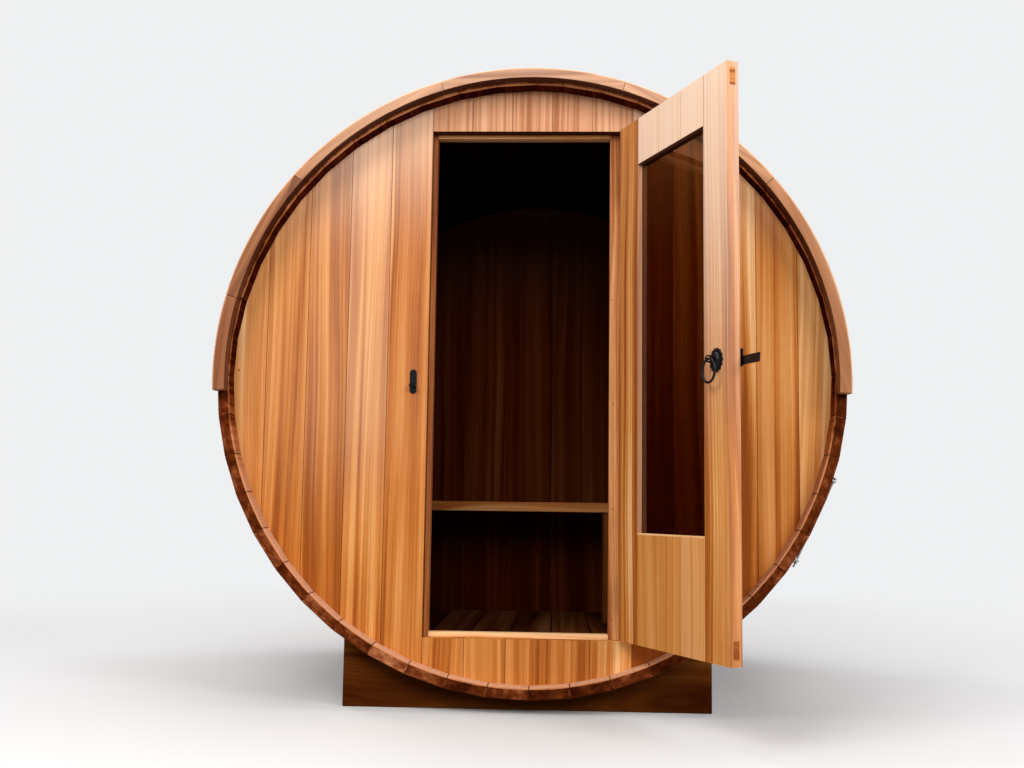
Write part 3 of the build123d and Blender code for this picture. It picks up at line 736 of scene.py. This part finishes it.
def panel_lift(s, depth, height):
    """The arris under the pane carries a painted highlight, and the board next to the lock stile is paler
    too.
    """
    # Painted highlight along the arris under the pane.
    pane_arris_highlight = (height - (GLASS_FOOT - AXIS)).size().rise(0.0050, 0.0042)
    return pane_arris_highlight * 0.6 + (s > 3 * BOARD - LEAF_TRIM) * 0.08


def panel_painted_shade(s, depth, height):
    """Painted shade under the rail over the pane."""
    return (height - (RAIL_FOOT - AXIS)).size().rise(0.0014, 0.0006) * 0.95


PEACH = tints((142, 73, 24), (174, 98, 36), (199, 125, 55), (219, 152, 84), (240, 188, 132))
door_cedar = cedar("door_cedar", leaf_boards, PEACH, leaf_xyz, contrast=1.2, bleach=leaf_paling_and_painted_light,
                   lift=leaf_lift, seam=board_seam(0.3), sheen=0.12, paler=0.04, broad=0.6)
panel_cedar = cedar("panel_cedar", leaf_boards, PEACH, leaf_xyz, contrast=0.3, bleach=leaf_paling_and_painted_light,
                    lift=panel_lift, seam=board_seam(0.25), room=panel_painted_shade, sheen=0.12, paler=0.19,
                    broad=0.4, lines=0.05)
spline_cedar = cedar("spline_cedar", leaf_splines, GOLDEN, leaf_xyz, sheen=0.1, paler=-0.16)
print("leaf origin", [round(c, 3) for c in LEAF_ORIGIN])

# %% [markdown]
# ## Glass, iron, steel and felt
#
# The pane is safety glass, tinted bronze. Light passes its two faces, so the shader's colour is the
# square root of the tint that one sees. The ironwork is painted satin black over forged metal, so it
# gets a fine unevenness in its gloss. The bands are stainless, drawn tight, with faint streaks.

# %% Glass and metals
def bronze_glass():
    pane = Finish("tinted_glass")
    height = pane.xyz()[2]
    smears = pane.grain(7.0, 7.0, 3.0, detail=3.0)
    dust = pane.grain(160.0, 160.0, 160.0)
    roughness = 0.004 + smears.rise(0.45, 0.8) * 0.012 + dust.rise(0.66, 0.8) * 0.03
    # Painted light and shade: the tint is darker low down and paler higher up.
    colour = pane.blend(height.rise(0.7, 1.7), tint(90, 57, 37), tint(126, 92, 53))
    return pane.surface(Base_Color=colour, Roughness=roughness, IOR=1.5, Transmission_Weight=1.0)


def black_paint():
    iron = Finish("black_iron")
    hammer = iron.grain(130.0, 130.0, 130.0)
    wear = iron.grain(40.0, 40.0, 40.0, detail=3.0)
    colour = iron.blend(wear.rise(0.55, 0.8), tint(5, 5, 7), tint(20, 18, 17))
    return iron.surface(Base_Color=colour, Roughness=0.24 + wear * 0.2, Normal=iron.bump(hammer, 0.0006, 0.5),
                        Metallic=0.0, Specular_IOR_Level=0.2)


def brushed_band():
    steel = Finish("band_steel")
    streak = steel.grain(4.0, 900.0, 4.0, detail=2.0)
    colour = steel.blend(streak, tint(124, 125, 127), tint(178, 178, 177))
    return steel.surface(Base_Color=colour, Roughness=0.30 + streak * 0.2, Metallic=1.0)


tinted_glass = bronze_glass()
black_iron = black_paint()
band_steel = brushed_band()
print("metals and glass:", tinted_glass.name, black_iron.name, band_steel.name)

# %% [markdown]
# Shingles are felt strewn with crushed slate, so their colour is a grit of dark and pale grains. The
# tabs come from different rolls, so each has its own tone: the shader works out which tab a point is
# on, from the same exposure and tab width that the roof is laid with further down.

# %% Roof felt
ROOF_END = math.radians(92.0)
ROOF_FOOT = 0.9777
ROOF_ARC = ROOF_END * ROOF_FOOT
EXPOSED, TABS = 0.142, 14
TAB_WIDTH = 2 * HALF / TABS
CAP_REACH, CAPS = 0.075, 16
CAP_LENGTH = 2 * HALF / CAPS


def slate_felt():
    felt = Finish("roof_felt")
    x, y, z = felt.xyz()
    turn = from_crown(x, z)
    down = turn.size() * ROOF_FOOT
    course = ((ROOF_ARC - down) / EXPOSED).floor()
    tab = ((y + HALF) / TAB_WIDTH - (course % 2.0) * 0.5).floor()
    ridge = down < CAP_REACH
    cap = ((y + HALF) / CAP_LENGTH).floor() * 5.3 + 40.0
    number = (course * 17.3 + tab * 3.1 + (x > 0.0) * 90.0) * (1.0 - ridge) + cap * ridge
    grit = felt.grain(420.0, 420.0, 420.0)
    streak = felt.cloud(turn * 1.5, y * 7.0, 0.0, 2.0)
    tone = grit * 0.9 + streak * 0.3 + felt.chance(number) * 0.22 - 0.22
    colour = felt.ramp(tone, [(0.2, tint(38, 31, 28)), (0.5, tint(72, 60, 53)), (0.85, tint(122, 106, 96))])
    return felt.surface(Base_Color=colour, Roughness=0.92, Normal=felt.bump(grit, 0.0012, 0.8),
                        Specular_IOR_Level=0.2)


roof_felt = slate_felt()
print("felt:", roof_felt.name)

# %% [markdown]
# ## Giving each CAD node its finish
#
# A CAD node keeps its mesh, and only its material slot is filled. The staves are known by how their
# names begin, and what the table doesn't name is ironwork.

# %% Dressing the CAD nodes
dressing = {
    "lock_post": post_cedar, "hinge_post": post_cedar, "door_head": cross_cedar, "door_sill": cross_cedar,
    "floor_planks": floor_cedar, "floor_bearers": bearer_cedar, "bench_seat": bench_cedar,
    "bench_cleats": cleat_cedar, "bench_leg": leg_cedar, "cradle_front": cradle_wood,
    "cradle_rear": cradle_wood, "steel_bands": band_steel, "roof_covering": roof_felt,
    "fascia_front": fascia_cedar, "fascia_rear": fascia_cedar, "door_hinge_stile": door_cedar,
    "door_lock_stile": door_cedar, "door_top_boards": panel_cedar, "door_bottom_boards": panel_cedar,
    "door_splines": spline_cedar, "door_glass": tinted_glass, "front_wall_over_door": over_cedar,
    "front_wall_under_door": under_cedar, "front_wall_left": wall_cedar, "front_wall_right": wall_cedar,
    "rear_wall": wall_cedar,
}
for node, solid in frame["nodes"].items():
    dressing.setdefault(node, stave_cedar if node.startswith("staves_") else black_iron)
    solid.data.materials.clear()
    solid.data.materials.append(dressing[node])
print("dressed", len(dressing), "of", len(frame["nodes"]), "nodes")

# %% [markdown]
# ## Helpers for new pieces
#
# A piece is built as one or more bmeshes, each made by operators, and joined into a single mesh whose
# object stays at the origin. Such a piece rides on the body that carries it, so it moves with the door
# or the ring, and it may stand in for a plain CAD node. Planed timber never has knife-sharp edges: the
# joiner eases them, and the light that this catches is what draws a board's outline in a photograph.
# eased() does it on a copy of a CAD node, whose loose triangles are first merged into real faces.


def add_piece(name, parts, material, body="barrel", stands_for=(), smooth=None):
    """Joins bmeshes into one object at the origin and gives it its finish. smooth is the sharpest
    angle, in degrees, that still looks round. A piece with no body belongs to the studio, and any other
    rides on its body. The frame has materials of the same names, so Blender adds a number to some of ours."""
    mesh = bpy.data.meshes.new(name)
    joined = bmesh.new()
    for part in parts:
        part.to_mesh(mesh)
        part.free()
        joined.from_mesh(mesh)
    joined.to_mesh(mesh)
    joined.free()
    mesh.materials.append(material)
    if smooth is not None:
        mesh.shade_smooth()
        mesh.set_sharp_from_angle(angle=math.radians(smooth))
    piece = bpy.data.objects.new(name, mesh)
    bpy.context.scene.collection.objects.link(piece)
    if body is None:
        return piece
    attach(piece, body)
    if stands_for:
        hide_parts(*stands_for)
    finish = material.name.split(".")[0]
    return piece


# %% Copying and easing
def merged_copy(node):
    """A CAD node's loose triangles as one skin of real faces."""
    copy = bmesh.new()
    copy.from_mesh(frame["nodes"][node].data)
    bmesh.ops.remove_doubles(copy, verts=copy.verts[:], dist=0.00002)
    bmesh.ops.dissolve_limit(copy, angle_limit=math.radians(0.5), verts=copy.verts[:], edges=copy.edges[:])
    return copy


def ease(shape, width, chosen=None, segments=1, sharper=30):
    """Planes off the outward edges that are sharper than an angle, all of them or those chosen."""
    sharp = math.radians(sharper)
    edges = [e for e in shape.edges if e.is_manifold and e.is_convex and e.calc_face_angle() > sharp
             and (chosen is None or chosen(e))]
    bmesh.ops.bevel(shape, geom=edges, offset=width, segments=segments, profile=0.5, affect="EDGES",
                    material=-1, clamp_overlap=True)
    return shape


def eased(node, width, chosen=None, segments=1):
    """A copy with eased edges in a CAD node's place, on the body that carries the node."""
    shape = ease(merged_copy(node), width, chosen, segments)
    return add_piece(node + "_eased", [shape], dressing[node], frame["nodes"][node]["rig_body"], (node,))


EASED = {"fascia_front": 0.0030, "fascia_rear": 0.0030, "lock_post": 0.0015, "hinge_post": 0.0015,
         "cradle_front": 0.0030, "cradle_rear": 0.0030, "bench_leg": 0.0030, "latch_bar": 0.0007,
         "latch_guide": 0.0006, "latch_keeper": 0.0006, "door_head": 0.0015, "door_sill": 0.0015,
         "bench_seat": 0.0020}
for node, width in EASED.items():
    piece = eased(node, width, segments=2)
    print(f"{node}: {len(piece.data.polygons)} faces, edges eased by {width * 1000:.1f} mm")


def under_the_glass(edge):
    """The long inner arris of the boards below the pane, which a chamfer draws as a bright line."""
    return all(abs(v.co.z - GLASS_FOOT) < 0.0003
               and (v.co - LEAF_ORIGIN).dot(LEAF_INWARD) > LEAF_THICKNESS - 0.0003 for v in edge.verts)


panel = eased("door_bottom_boards", 0.0032, under_the_glass)
print("the boards under the glass have", len(panel.data.polygons), "faces")

# %% [markdown]
# ## The staves
#
# A stave is milled with a bead along one edge and a cove along the other, so that it can turn on its
# neighbour and close a round. The ends are sawn square, and a plane takes off the edge that a hand or a
# cloth could catch on. Only the edges at the two ends are eased here: along its length a stave is tight.

# %% Eased stave ends
def at_an_end(edge):
    return all(abs(v.co.y) > HALF - 0.0002 for v in edge.verts)


for node in [n for n in frame["nodes"] if n.startswith("staves_")]:
    piece = eased(node, 0.0016, at_an_end)
print("the last group of staves has", len(piece.data.polygons), "faces")

# %% [markdown]
# ## The end walls, board by board
#
# Each end wall is a round of upright tongue-and-groove boards. Their edges are bevelled, so that a
# narrow V marks each joint. A board is cut from a filled circle: two planes cut it to the board's
# width, and for those over and under the doorway one more plane cuts it to its height. Then the face is
# pushed to its thickness, and only the long edges get the bevel. One piece stands for each CAD node.

# %% Boards
BEVEL = 0.0013
UPRIGHT = Matrix.Rotation(math.pi / 2, 4, "X")


def whole(shape):
    return shape.verts[:] + shape.edges[:] + shape.faces[:]


def outward(shape):
    """Turns every face outwards."""
    bmesh.ops.recalc_face_normals(shape, faces=shape.faces[:])
    return shape


def wall_board(index, front, low=None, high=None):
    """A bmesh of one board, with its front face at y = front. low and high cut it off, over the axis."""
    board = bmesh.new()
    bmesh.ops.create_circle(board, cap_ends=True, segments=224, radius=WALL_RADIUS,
                            matrix=Matrix.Translation((0, front, AXIS)) @ UPRIGHT)
    cuts = []
    for x, normal in ((index - 0.5, -1), (index + 0.5, 1)):
        if abs(x * BOARD) < WALL_RADIUS:
            cuts.append((Vector((x * BOARD - normal * 0.0001, 0, 0)), Vector((normal, 0, 0))))
    if low is not None:
        cuts.append((Vector((0, 0, AXIS + low)), Vector((0, 0, -1))))
    if high is not None:
        cuts.append((Vector((0, 0, AXIS + high)), Vector((0, 0, 1))))
    for place, normal in cuts:
        bmesh.ops.bisect_plane(board, geom=whole(board), plane_co=place, plane_no=normal, clear_outer=True)
    pushed = bmesh.ops.extrude_face_region(board, geom=board.faces[:])
    bmesh.ops.translate(board, vec=(0, WALL_THICKNESS, 0),
                        verts=[v for v in pushed["geom"] if isinstance(v, bmesh.types.BMVert)])

    def upright(edge):
        a, b = edge.verts[0].co, edge.verts[1].co
        return abs(a.x - b.x) < 1e-6 and abs(a.y - b.y) < 1e-6 and edge.calc_length() > 0.05
    return ease(outward(board), BEVEL, upright)


doorway_top = OVER_FOOT - AXIS
doorway_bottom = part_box("front_wall_under_door")[1].z - AXIS
walls = {
    "front_wall_left": (range(-7, -2), WALL_FRONT),
    "front_wall_right": (range(3, 8), WALL_FRONT),
    "front_wall_over_door": (range(-2, 3), WALL_FRONT, doorway_top),
    "front_wall_under_door": (range(-2, 3), WALL_FRONT, None, doorway_bottom),
    "rear_wall": (range(-7, 8), WALL_INSIDE),
}
for node, (numbers, *sizes) in walls.items():
    boards = [wall_board(number, *sizes) for number in numbers]
    piece = add_piece(node + "_boards", boards, dressing[node], "barrel", (node,))
    print(node, "has", len(numbers), "boards and", len(piece.data.polygons), "faces")

# %% [markdown]
# ## The ring pull
#
# The inner face of the leaf has a forged ring that hangs in an eye, over a rosette: a domed plate with a
# rim of round lobes, each with a rivet. Everything there is round, so a profile is turned about the
# spindle by a spin, as on a lathe, and a hoop is a small circle that is spun about a far axis. They are
# made in the leaf's own frame, x along the leaf, y up, z out of its inner face, and one matrix puts
# them on the open leaf.

# %% Turned shapes
LEAF = Matrix((LEAF_ALONG, (0, 0, 1), LEAF_INWARD)).transposed().to_4x4()
LEAF.translation = LEAF_ORIGIN
SPINDLE = Vector((0.574, -0.005, 0))
FULL = 2 * math.pi


def turned(profile, steps=40):
    """A shape turned about Z from points of radius and height."""
    shape = bmesh.new()
    points = [shape.verts.new((radius, 0, height)) for radius, height in profile]
    edges = [shape.edges.new(pair) for pair in zip(points[:-1], points[1:])]
    bmesh.ops.spin(shape, geom=points + edges, axis=(0, 0, 1), angle=FULL, steps=steps, use_merge=True)
    bmesh.ops.remove_doubles(shape, verts=shape.verts[:], dist=0.00001)
    return outward(shape)


def hoop(radius, bar, steps=64, sides=14):
    """A ring of round bar about Z."""
    shape = bmesh.new()
    place = Matrix.Translation((radius, 0, 0)) @ UPRIGHT
    bmesh.ops.create_circle(shape, segments=sides, radius=bar, matrix=place)
    bmesh.ops.spin(shape, geom=whole(shape), axis=(0, 0, 1), angle=FULL, steps=steps, use_merge=True)
    return outward(shape)


def moved(shape, matrix):
    bmesh.ops.transform(shape, matrix=matrix, verts=shape.verts[:])
    return shape


def button(radius, height, steps):
    """A low round head on the plane z = 0."""
    shoulder, crown = (radius * 0.94, height * 0.45), (radius * 0.66, height * 0.85)
    return turned([(0, 0), (radius, 0), shoulder, crown, (0, height)], steps)


print("the spindle is", round((LEAF_WIDTH - SPINDLE.x) * 1000), "mm from the leaf's lock edge")

# %% Rosettes, eye and ring
LOBES, LOBE_RING, LOBE_RADIUS, PLATE = 14, 0.0275, 0.0066, 0.0018


def rosette(dome):
    """A plate with a lobed and riveted rim on the plane z = 0, with or without its dome."""
    parts = [turned([(0, 0), (LOBE_RING, 0), (LOBE_RING, PLATE), (0, PLATE)])]
    for k in range(LOBES):
        place = Matrix.Rotation(FULL * k / LOBES, 4, "Z") @ Matrix.Translation((LOBE_RING, 0, 0))
        parts.append(moved(button(LOBE_RADIUS, 0.0030, 14), place))
        parts.append(moved(button(0.0015, 0.0012, 8), place @ Matrix.Translation((0, 0, 0.0027))))
    if dome:
        parts.append(turned([(0.0225, PLATE * 0.5), (0.0225, 0.0028), (0.0210, 0.0058), (0.0180, 0.0085),
                             (0.0145, 0.0102), (0.0110, 0.0109), (0.0083, 0.0109), (0.0083, PLATE * 0.5),
                             (0.0225, PLATE * 0.5)], 36))
    return parts


def on_leaf(parts, depth, outwards=False):
    """Puts parts round the spindle, at a depth in the leaf, and turns them to face out of it."""
    flip = Matrix.Rotation(math.pi, 4, "X") if outwards else Matrix.Identity(4)
    place = LEAF @ Matrix.Translation(SPINDLE + Vector((0, 0, depth))) @ flip
    return [moved(part, place) for part in parts]


SIDEWAYS = Matrix.Rotation(math.pi / 2, 4, "Y")
EYE = SPINDLE + Vector((0, 0.0025, LEAF_THICKNESS + 0.024))
PULL_RADIUS, PULL_BAR = 0.0315, 0.0035
spindle = turned([(0, -0.0120), (0.0055, -0.0120), (0.0060, -0.0115), (0.0060, 0.0385), (0.0070, 0.0388),
                  (0.0070, 0.0455), (0.0058, 0.0485), (0.0052, 0.0530), (0, 0.0545)], 24)
spindle = moved(spindle, LEAF @ Matrix.Translation(SPINDLE))
eye = moved(hoop(0.0084, 0.0024, 36, 12), LEAF @ Matrix.Translation(EYE) @ SIDEWAYS)
pull = moved(hoop(PULL_RADIUS, PULL_BAR), LEAF @ Matrix.Translation(EYE - Vector((0, PULL_RADIUS, 0))))
iron_pieces = [
    add_piece("inner_rosette_lobed", on_leaf(rosette(True), LEAF_THICKNESS), black_iron, "door",
              ("inner_rosette",), 40),
    add_piece("outer_rosette_lobed", on_leaf(rosette(False), 0, True), black_iron, "door",
              ("outer_rosette",), 40),
    add_piece("latch_eye", [spindle, eye], black_iron, "latch", ("latch_knob",), 40),
    add_piece("pull_ring_round", [pull], black_iron, "ring", ("pull_ring",), 60),
]
print("ironwork faces:", {piece.name: len(piece.data.polygons) for piece in iron_pieces})

# %% [markdown]
# ## Screws and nails
#
# The hinge plates and the keeper are held by slotted screws with countersunk heads, which lie almost
# flush. A head is two half discs with the slot between them, so its slot is real and catches shade.
# The door stop is nailed, as is a wall board, and only the nail heads show, as dots. A head repeats
# many times, so it has few faces.

# %% Heads
SCREW_RADIUS, SLOT_SHARE = 0.0034, 0.13


def halved(radius, height, side):
    """Half of a screw head, on one side of its slot."""
    half = bmesh.new()
    bmesh.ops.create_cone(half, cap_ends=True, segments=16, radius1=radius, radius2=radius * 0.9,
                          depth=height, matrix=Matrix.Translation((0, 0, height / 2)))
    slot_edge = (side * radius * SLOT_SHARE, 0, 0)
    cut = bmesh.ops.bisect_plane(half, geom=whole(half), plane_co=slot_edge, plane_no=(-side, 0, 0),
                                 clear_outer=True)
    rim = [e for e in cut["geom_cut"] if isinstance(e, bmesh.types.BMEdge)]
    bmesh.ops.holes_fill(half, edges=rim, sides=0)
    return outward(half)


def screw(place, turn, radius=SCREW_RADIUS, height=0.0005):
    """A slotted head whose Z looks out of the plate, with its slot turned by an angle."""
    matrix = place @ Matrix.Rotation(turn, 4, "Z")
    return [moved(halved(radius, height, side), matrix) for side in (-1, 1)]


def facing(point, outward):
    """A matrix at a point, with its Z along outward."""
    return Matrix.Translation(point) @ Vector(outward).to_track_quat("Z", "Y").to_matrix().to_4x4()


print(f"a screw's slot is {SCREW_RADIUS * SLOT_SHARE * 2000:.1f} mm wide")

# %% Screws
HINGE_HALF = 0.05
HINGE_SCREWS = ((0.018, -0.036), (0.029, 0.0), (0.018, 0.036))
hinge_low, hinge_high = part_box("frame_hinges")
frame_screws, leaf_screws = [], []
for number, level in enumerate((hinge_low.z + HINGE_HALF, hinge_high.z - HINGE_HALF)):
    for k, (depth, rise) in enumerate(HINGE_SCREWS):
        frame_place = facing((PIN.x + 0.0008, PIN.y + depth, level + rise), (-1, 0, 0))
        frame_screws += screw(frame_place, 0.7 * k + number)
        leaf_place = LEAF @ Matrix.Translation((-0.0022, level + rise - AXIS, depth - 0.007))
        leaf_screws += screw(leaf_place @ SIDEWAYS.inverted(), 0.9 * k - number)
keeper_low, keeper_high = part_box("latch_keeper")
keeper_x = (keeper_low.x + keeper_high.x) / 2
for z, turn in ((keeper_high.z - 0.0105, 0.4), (keeper_low.z + 0.0095, 1.3)):
    frame_screws += screw(facing((keeper_x, WALL_FRONT - 0.002, z), (0, -1, 0)), turn, 0.0038, 0.0008)
add_piece("frame_screws", frame_screws, black_iron)
add_piece("leaf_screws", leaf_screws, black_iron, "door")
print(len(frame_screws) // 2, "screws in the frame and", len(leaf_screws) // 2, "in the leaf")

# %% Nails
STOP_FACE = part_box("hinge_post")[0].y
STOP_NAILS = ((0.2634, 0.2787), (0.2641, 1.5387), (0.2580, 1.2841), (0.2634, 0.62), (0.2644, 0.95))
WALL_NAIL = (-0.9247, 1.0433)
nails = [facing((x, STOP_FACE - 0.0001, z), (0, -1, 0)) for x, z in STOP_NAILS]
wall_place = facing((WALL_NAIL[0], WALL_FRONT - 0.0001, WALL_NAIL[1]), (0, -1, 0))
nails.append(wall_place @ Matrix.Scale(1.5, 4))
add_piece("nails", [moved(button(0.0019, 0.0003, 8), place) for place in nails], black_iron)
print(len(nails), "nails")

# %% [markdown]
# ## The shingled roof
#
# The upper half is covered with mineral shingles, in courses that overlap like scales and run off to
# both sides, with a ridge of caps along the crown. A tab is a thin block that is thicker at its lower
# end, and it is wrapped round the barrel once it is made: while it is flat, x is the way down the
# slope, and the wrap turns that into an angle.

# %% Shingles
def wrapped(shape, side=1):
    """Bends a flat shape round the barrel. x is the arc from the crown, z the height over the foot."""
    for vert in shape.verts:
        turn, radius = side * vert.co.x / ROOF_FOOT, ROOF_FOOT + vert.co.z
        vert.co = (radius * math.sin(turn), vert.co.y, AXIS + radius * math.cos(turn))
    return outward(shape)


def block(centre, size):
    shape = bmesh.new()
    place = Matrix.Translation(centre) @ Matrix.Diagonal((*size, 1))
    bmesh.ops.create_cube(shape, size=1.0, matrix=place)
    return shape


def slab(start, end, left, right, foot, head_rise, tail_rise, steps):
    """A block between two places down the slope, as high as head_rise at its top and tail_rise below."""
    tab = block(((start + end) / 2, (left + right) / 2, 0), (end - start, right - left, 1))
    down_slope = [e for e in tab.edges if abs(e.verts[0].co.x - e.verts[1].co.x) > 1e-6]
    bmesh.ops.subdivide_edges(tab, edges=down_slope, cuts=steps - 1)
    for vert in tab.verts:
        share = (vert.co.x - start) / (end - start)
        vert.co.z = foot if vert.co.z < 0 else head_rise + (tail_rise - head_rise) * share
    return tab


OVERLAP, SLOT_HALF, NARROWEST = 0.012, 0.002, 0.02
courses = math.ceil(ROOF_ARC / EXPOSED)
roof_parts = [wrapped(slab(-ROOF_ARC, ROOF_ARC, -HALF, HALF, 0.0, 0.0010, 0.0010, 92))]
for side in (-1, 1):
    for course in range(courses):
        tail = ROOF_ARC - course * EXPOSED
        head = max(tail - EXPOSED - OVERLAP, 0.0)
        for k in range(-1, TABS + 1):
            left = -HALF + (k + 0.5 * (course % 2)) * TAB_WIDTH
            right = min(left + TAB_WIDTH - SLOT_HALF, HALF)
            left = max(left + SLOT_HALF, -HALF)
            if right - left > NARROWEST:
                roof_parts.append(wrapped(slab(head, tail, left, right, 0.0008, 0.0012, 0.0026, 5), side))
for k in range(CAPS):
    left = -HALF + k * CAP_LENGTH
    cap = slab(-CAP_REACH, CAP_REACH, left + 0.001, left + CAP_LENGTH - 0.001, 0.0010, 0.0031, 0.0031, 6)
    roof_parts.append(wrapped(cap))
roof = add_piece("roof_shingles", roof_parts, roof_felt, "barrel", ("roof_covering",))
print("roof:", 2 * courses, "courses,", len(roof.data.polygons), "faces")

# %% [markdown]
# ## Tightening the bands
#
# A steel band is drawn tight by a threaded rod between two brackets, low on the barrel's right side. The
# rod is straight, so it just clears the middle of the bulge. Besides the frame's two bands, one runs over
# each end wall, where the photograph shows its rod beside the barrel. The added pair is a copy of the
# frame's pair, slid along the barrel.

# %% Bands and rods
END_BAND, BAND_WIDTH = 0.730, 0.022
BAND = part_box("steel_bands")[1].y - BAND_WIDTH / 2
ROD_ANGLE, ROD_RADIUS, ROD_HEIGHT = 115.7, 0.0032, 0.9838
BRACKET_PLACE, NUT_PLACE, NUT_LENGTH, NUT_RADIUS, TAIL = 0.135, 0.1435, 0.0055, 0.0062, 0.012
ROD_LENGTH = 2 * NUT_PLACE + 0.006 + TAIL


def rod_at(band_y):
    """A rod with its brackets and nuts, built upright at the crown and then turned down."""
    parts = []
    for x in (-BRACKET_PLACE, BRACKET_PLACE):
        bracket = block((x, band_y, ROD_HEIGHT - 0.004), (0.006, 0.020, 0.022))
        parts.append(ease(bracket, 0.0012, segments=2))
    for x, length, radius, sides in ((TAIL / 2, ROD_LENGTH, ROD_RADIUS, 16),
                                     (NUT_PLACE, NUT_LENGTH, NUT_RADIUS, 6),
                                     (-NUT_PLACE, NUT_LENGTH, NUT_RADIUS, 6)):
        rod = bmesh.new()
        along = Matrix.Translation((x, band_y, ROD_HEIGHT)) @ SIDEWAYS
        bmesh.ops.create_cone(rod, cap_ends=True, segments=sides, radius1=radius, radius2=radius,
                              depth=length, matrix=along)
        parts.append(ease(rod, 0.0006))
    turn = Matrix.Translation((0, 0, AXIS)) @ Matrix.Rotation(math.radians(ROD_ANGLE), 4, "Y")
    return [moved(part, turn) for part in parts]


end_bands = merged_copy("steel_bands")
for vert in end_bands.verts:
    vert.co.y += math.copysign(END_BAND - BAND, vert.co.y)
add_piece("end_bands", [end_bands], band_steel)
rods = [part for y in (-END_BAND, -BAND, BAND, END_BAND) for part in rod_at(y)]
piece = add_piece("band_rods", rods, band_steel)
print("rods at", ROD_ANGLE, "degrees from the crown,", len(piece.data.polygons), "faces")

# %% [markdown]
# ## Light and ground
#
# The sauna stood in the open under a bright sky, so the light is soft and comes mostly from above and
# from the front. Large area lamps do that, and a pale floor keeps the shadow. The floor turns into the
# plain backdrop with distance from the middle, so that no horizon line shows, and only the camera,
# mirrors and glass see that bright backdrop, because the world lights the object at a lower level.

# %% Floor
BACKDROP = (0.86, 0.87, 0.88, 1.0)


def seen_directly(paint):
    """1 for what the camera sees itself, in a mirror or through glass."""
    kinds = ("Is Camera Ray", "Is Glossy Ray", "Is Transmission Ray")
    camera_ray, glossy, through = (paint.node("ShaderNodeLightPath", output=kind) for kind in kinds)
    return camera_ray.highest(glossy).highest(through)


def floor_paint():
    paint = Finish("studio_floor")
    x, y, z = paint.xyz()
    far = from_axis(x, y, 0.0).rise(1.6, 5.5)
    seen = seen_directly(paint)
    reflected = paint.blend(seen, (0.20, 0.19, 0.17, 1.0), (0.62, 0.62, 0.62, 1.0))
    matte = paint.node("ShaderNodeBsdfDiffuse", None, {"Color": reflected})
    glow = paint.node("ShaderNodeEmission", None, {"Color": BACKDROP, "Strength": 1.0})
    paint.close(paint.node("ShaderNodeMixShader", None, [far * seen, matte, glow]))
    return paint.material


ground = bmesh.new()
bmesh.ops.create_circle(ground, cap_ends=True, segments=96, radius=60.0)
floor = add_piece("studio_floor", [ground], floor_paint(), None)
print("floor", [round(v, 1) for v in floor.dimensions])

# %% [markdown]
# The world is written with the same class as the finishes. The lamps are large and soft: the key and
# the fill stand to the left and right of the viewer, one hangs above and two stand behind, so that no
# side of the barrel goes black. The lamp in front isn't seen in gloss, or it would glare in the pane.

# %% World and lamps
SKY_LIGHT = 0.26
sky = Finish("studio_world", bpy.data.worlds.new("studio_world"))
bpy.context.scene.world = sky.material
seen = seen_directly(sky)
sky_colour = sky.blend(seen, (0.97, 0.98, 1.0, 1.0), BACKDROP)
sky_strength = SKY_LIGHT + seen * (1.0 - SKY_LIGHT)
background = sky.node("ShaderNodeBackground", None, {"Color": sky_colour, "Strength": sky_strength})
sky.close(background, "ShaderNodeOutputWorld")


def lamp(name, place, target, size, watts, colour=(1.0, 1.0, 1.0)):
    data = bpy.data.lights.new(name, "AREA")
    data.shape, data.size, data.size_y = "RECTANGLE", size[0], size[1]
    data.energy, data.color = watts, colour
    made = bpy.data.objects.new(name, data)
    bpy.context.scene.collection.objects.link(made)
    made.location = place
    made.rotation_mode = "QUATERNION"
    made.rotation_quaternion = (Vector(target) - Vector(place)).to_track_quat("-Z", "Y")
    made.visible_camera = False
    return made


lamp("key", (-2.6, -4.4, 4.4), (0.1, -0.8, 1.0), (2.6, 2.6), 205, (1.0, 0.97, 0.94))
front = lamp("front", (0.3, -6.4, 2.9), (0, -0.7, 0.9), (2.8, 2.2), 150, (1.0, 0.98, 0.96))
front.visible_glossy = False
lamp("fill", (3.6, -4.8, 3.6), (0, -0.7, 0.9), (2.6, 2.6), 200, (0.98, 0.98, 1.0))
lamp("above", (0.0, 0.0, 5.4), (0, 0, 1.0), (4.0, 4.0), 170)
lamp("behind_left", (-4.2, 4.6, 3.4), (0, 0, 1.0), (3.0, 3.0), 170)
lamp("behind_right", (4.4, 3.8, 3.0), (0, 0, 1.0), (3.0, 3.0), 130)
bpy.context.scene.view_settings.view_transform = "Standard"

# %% [markdown] ## Closing
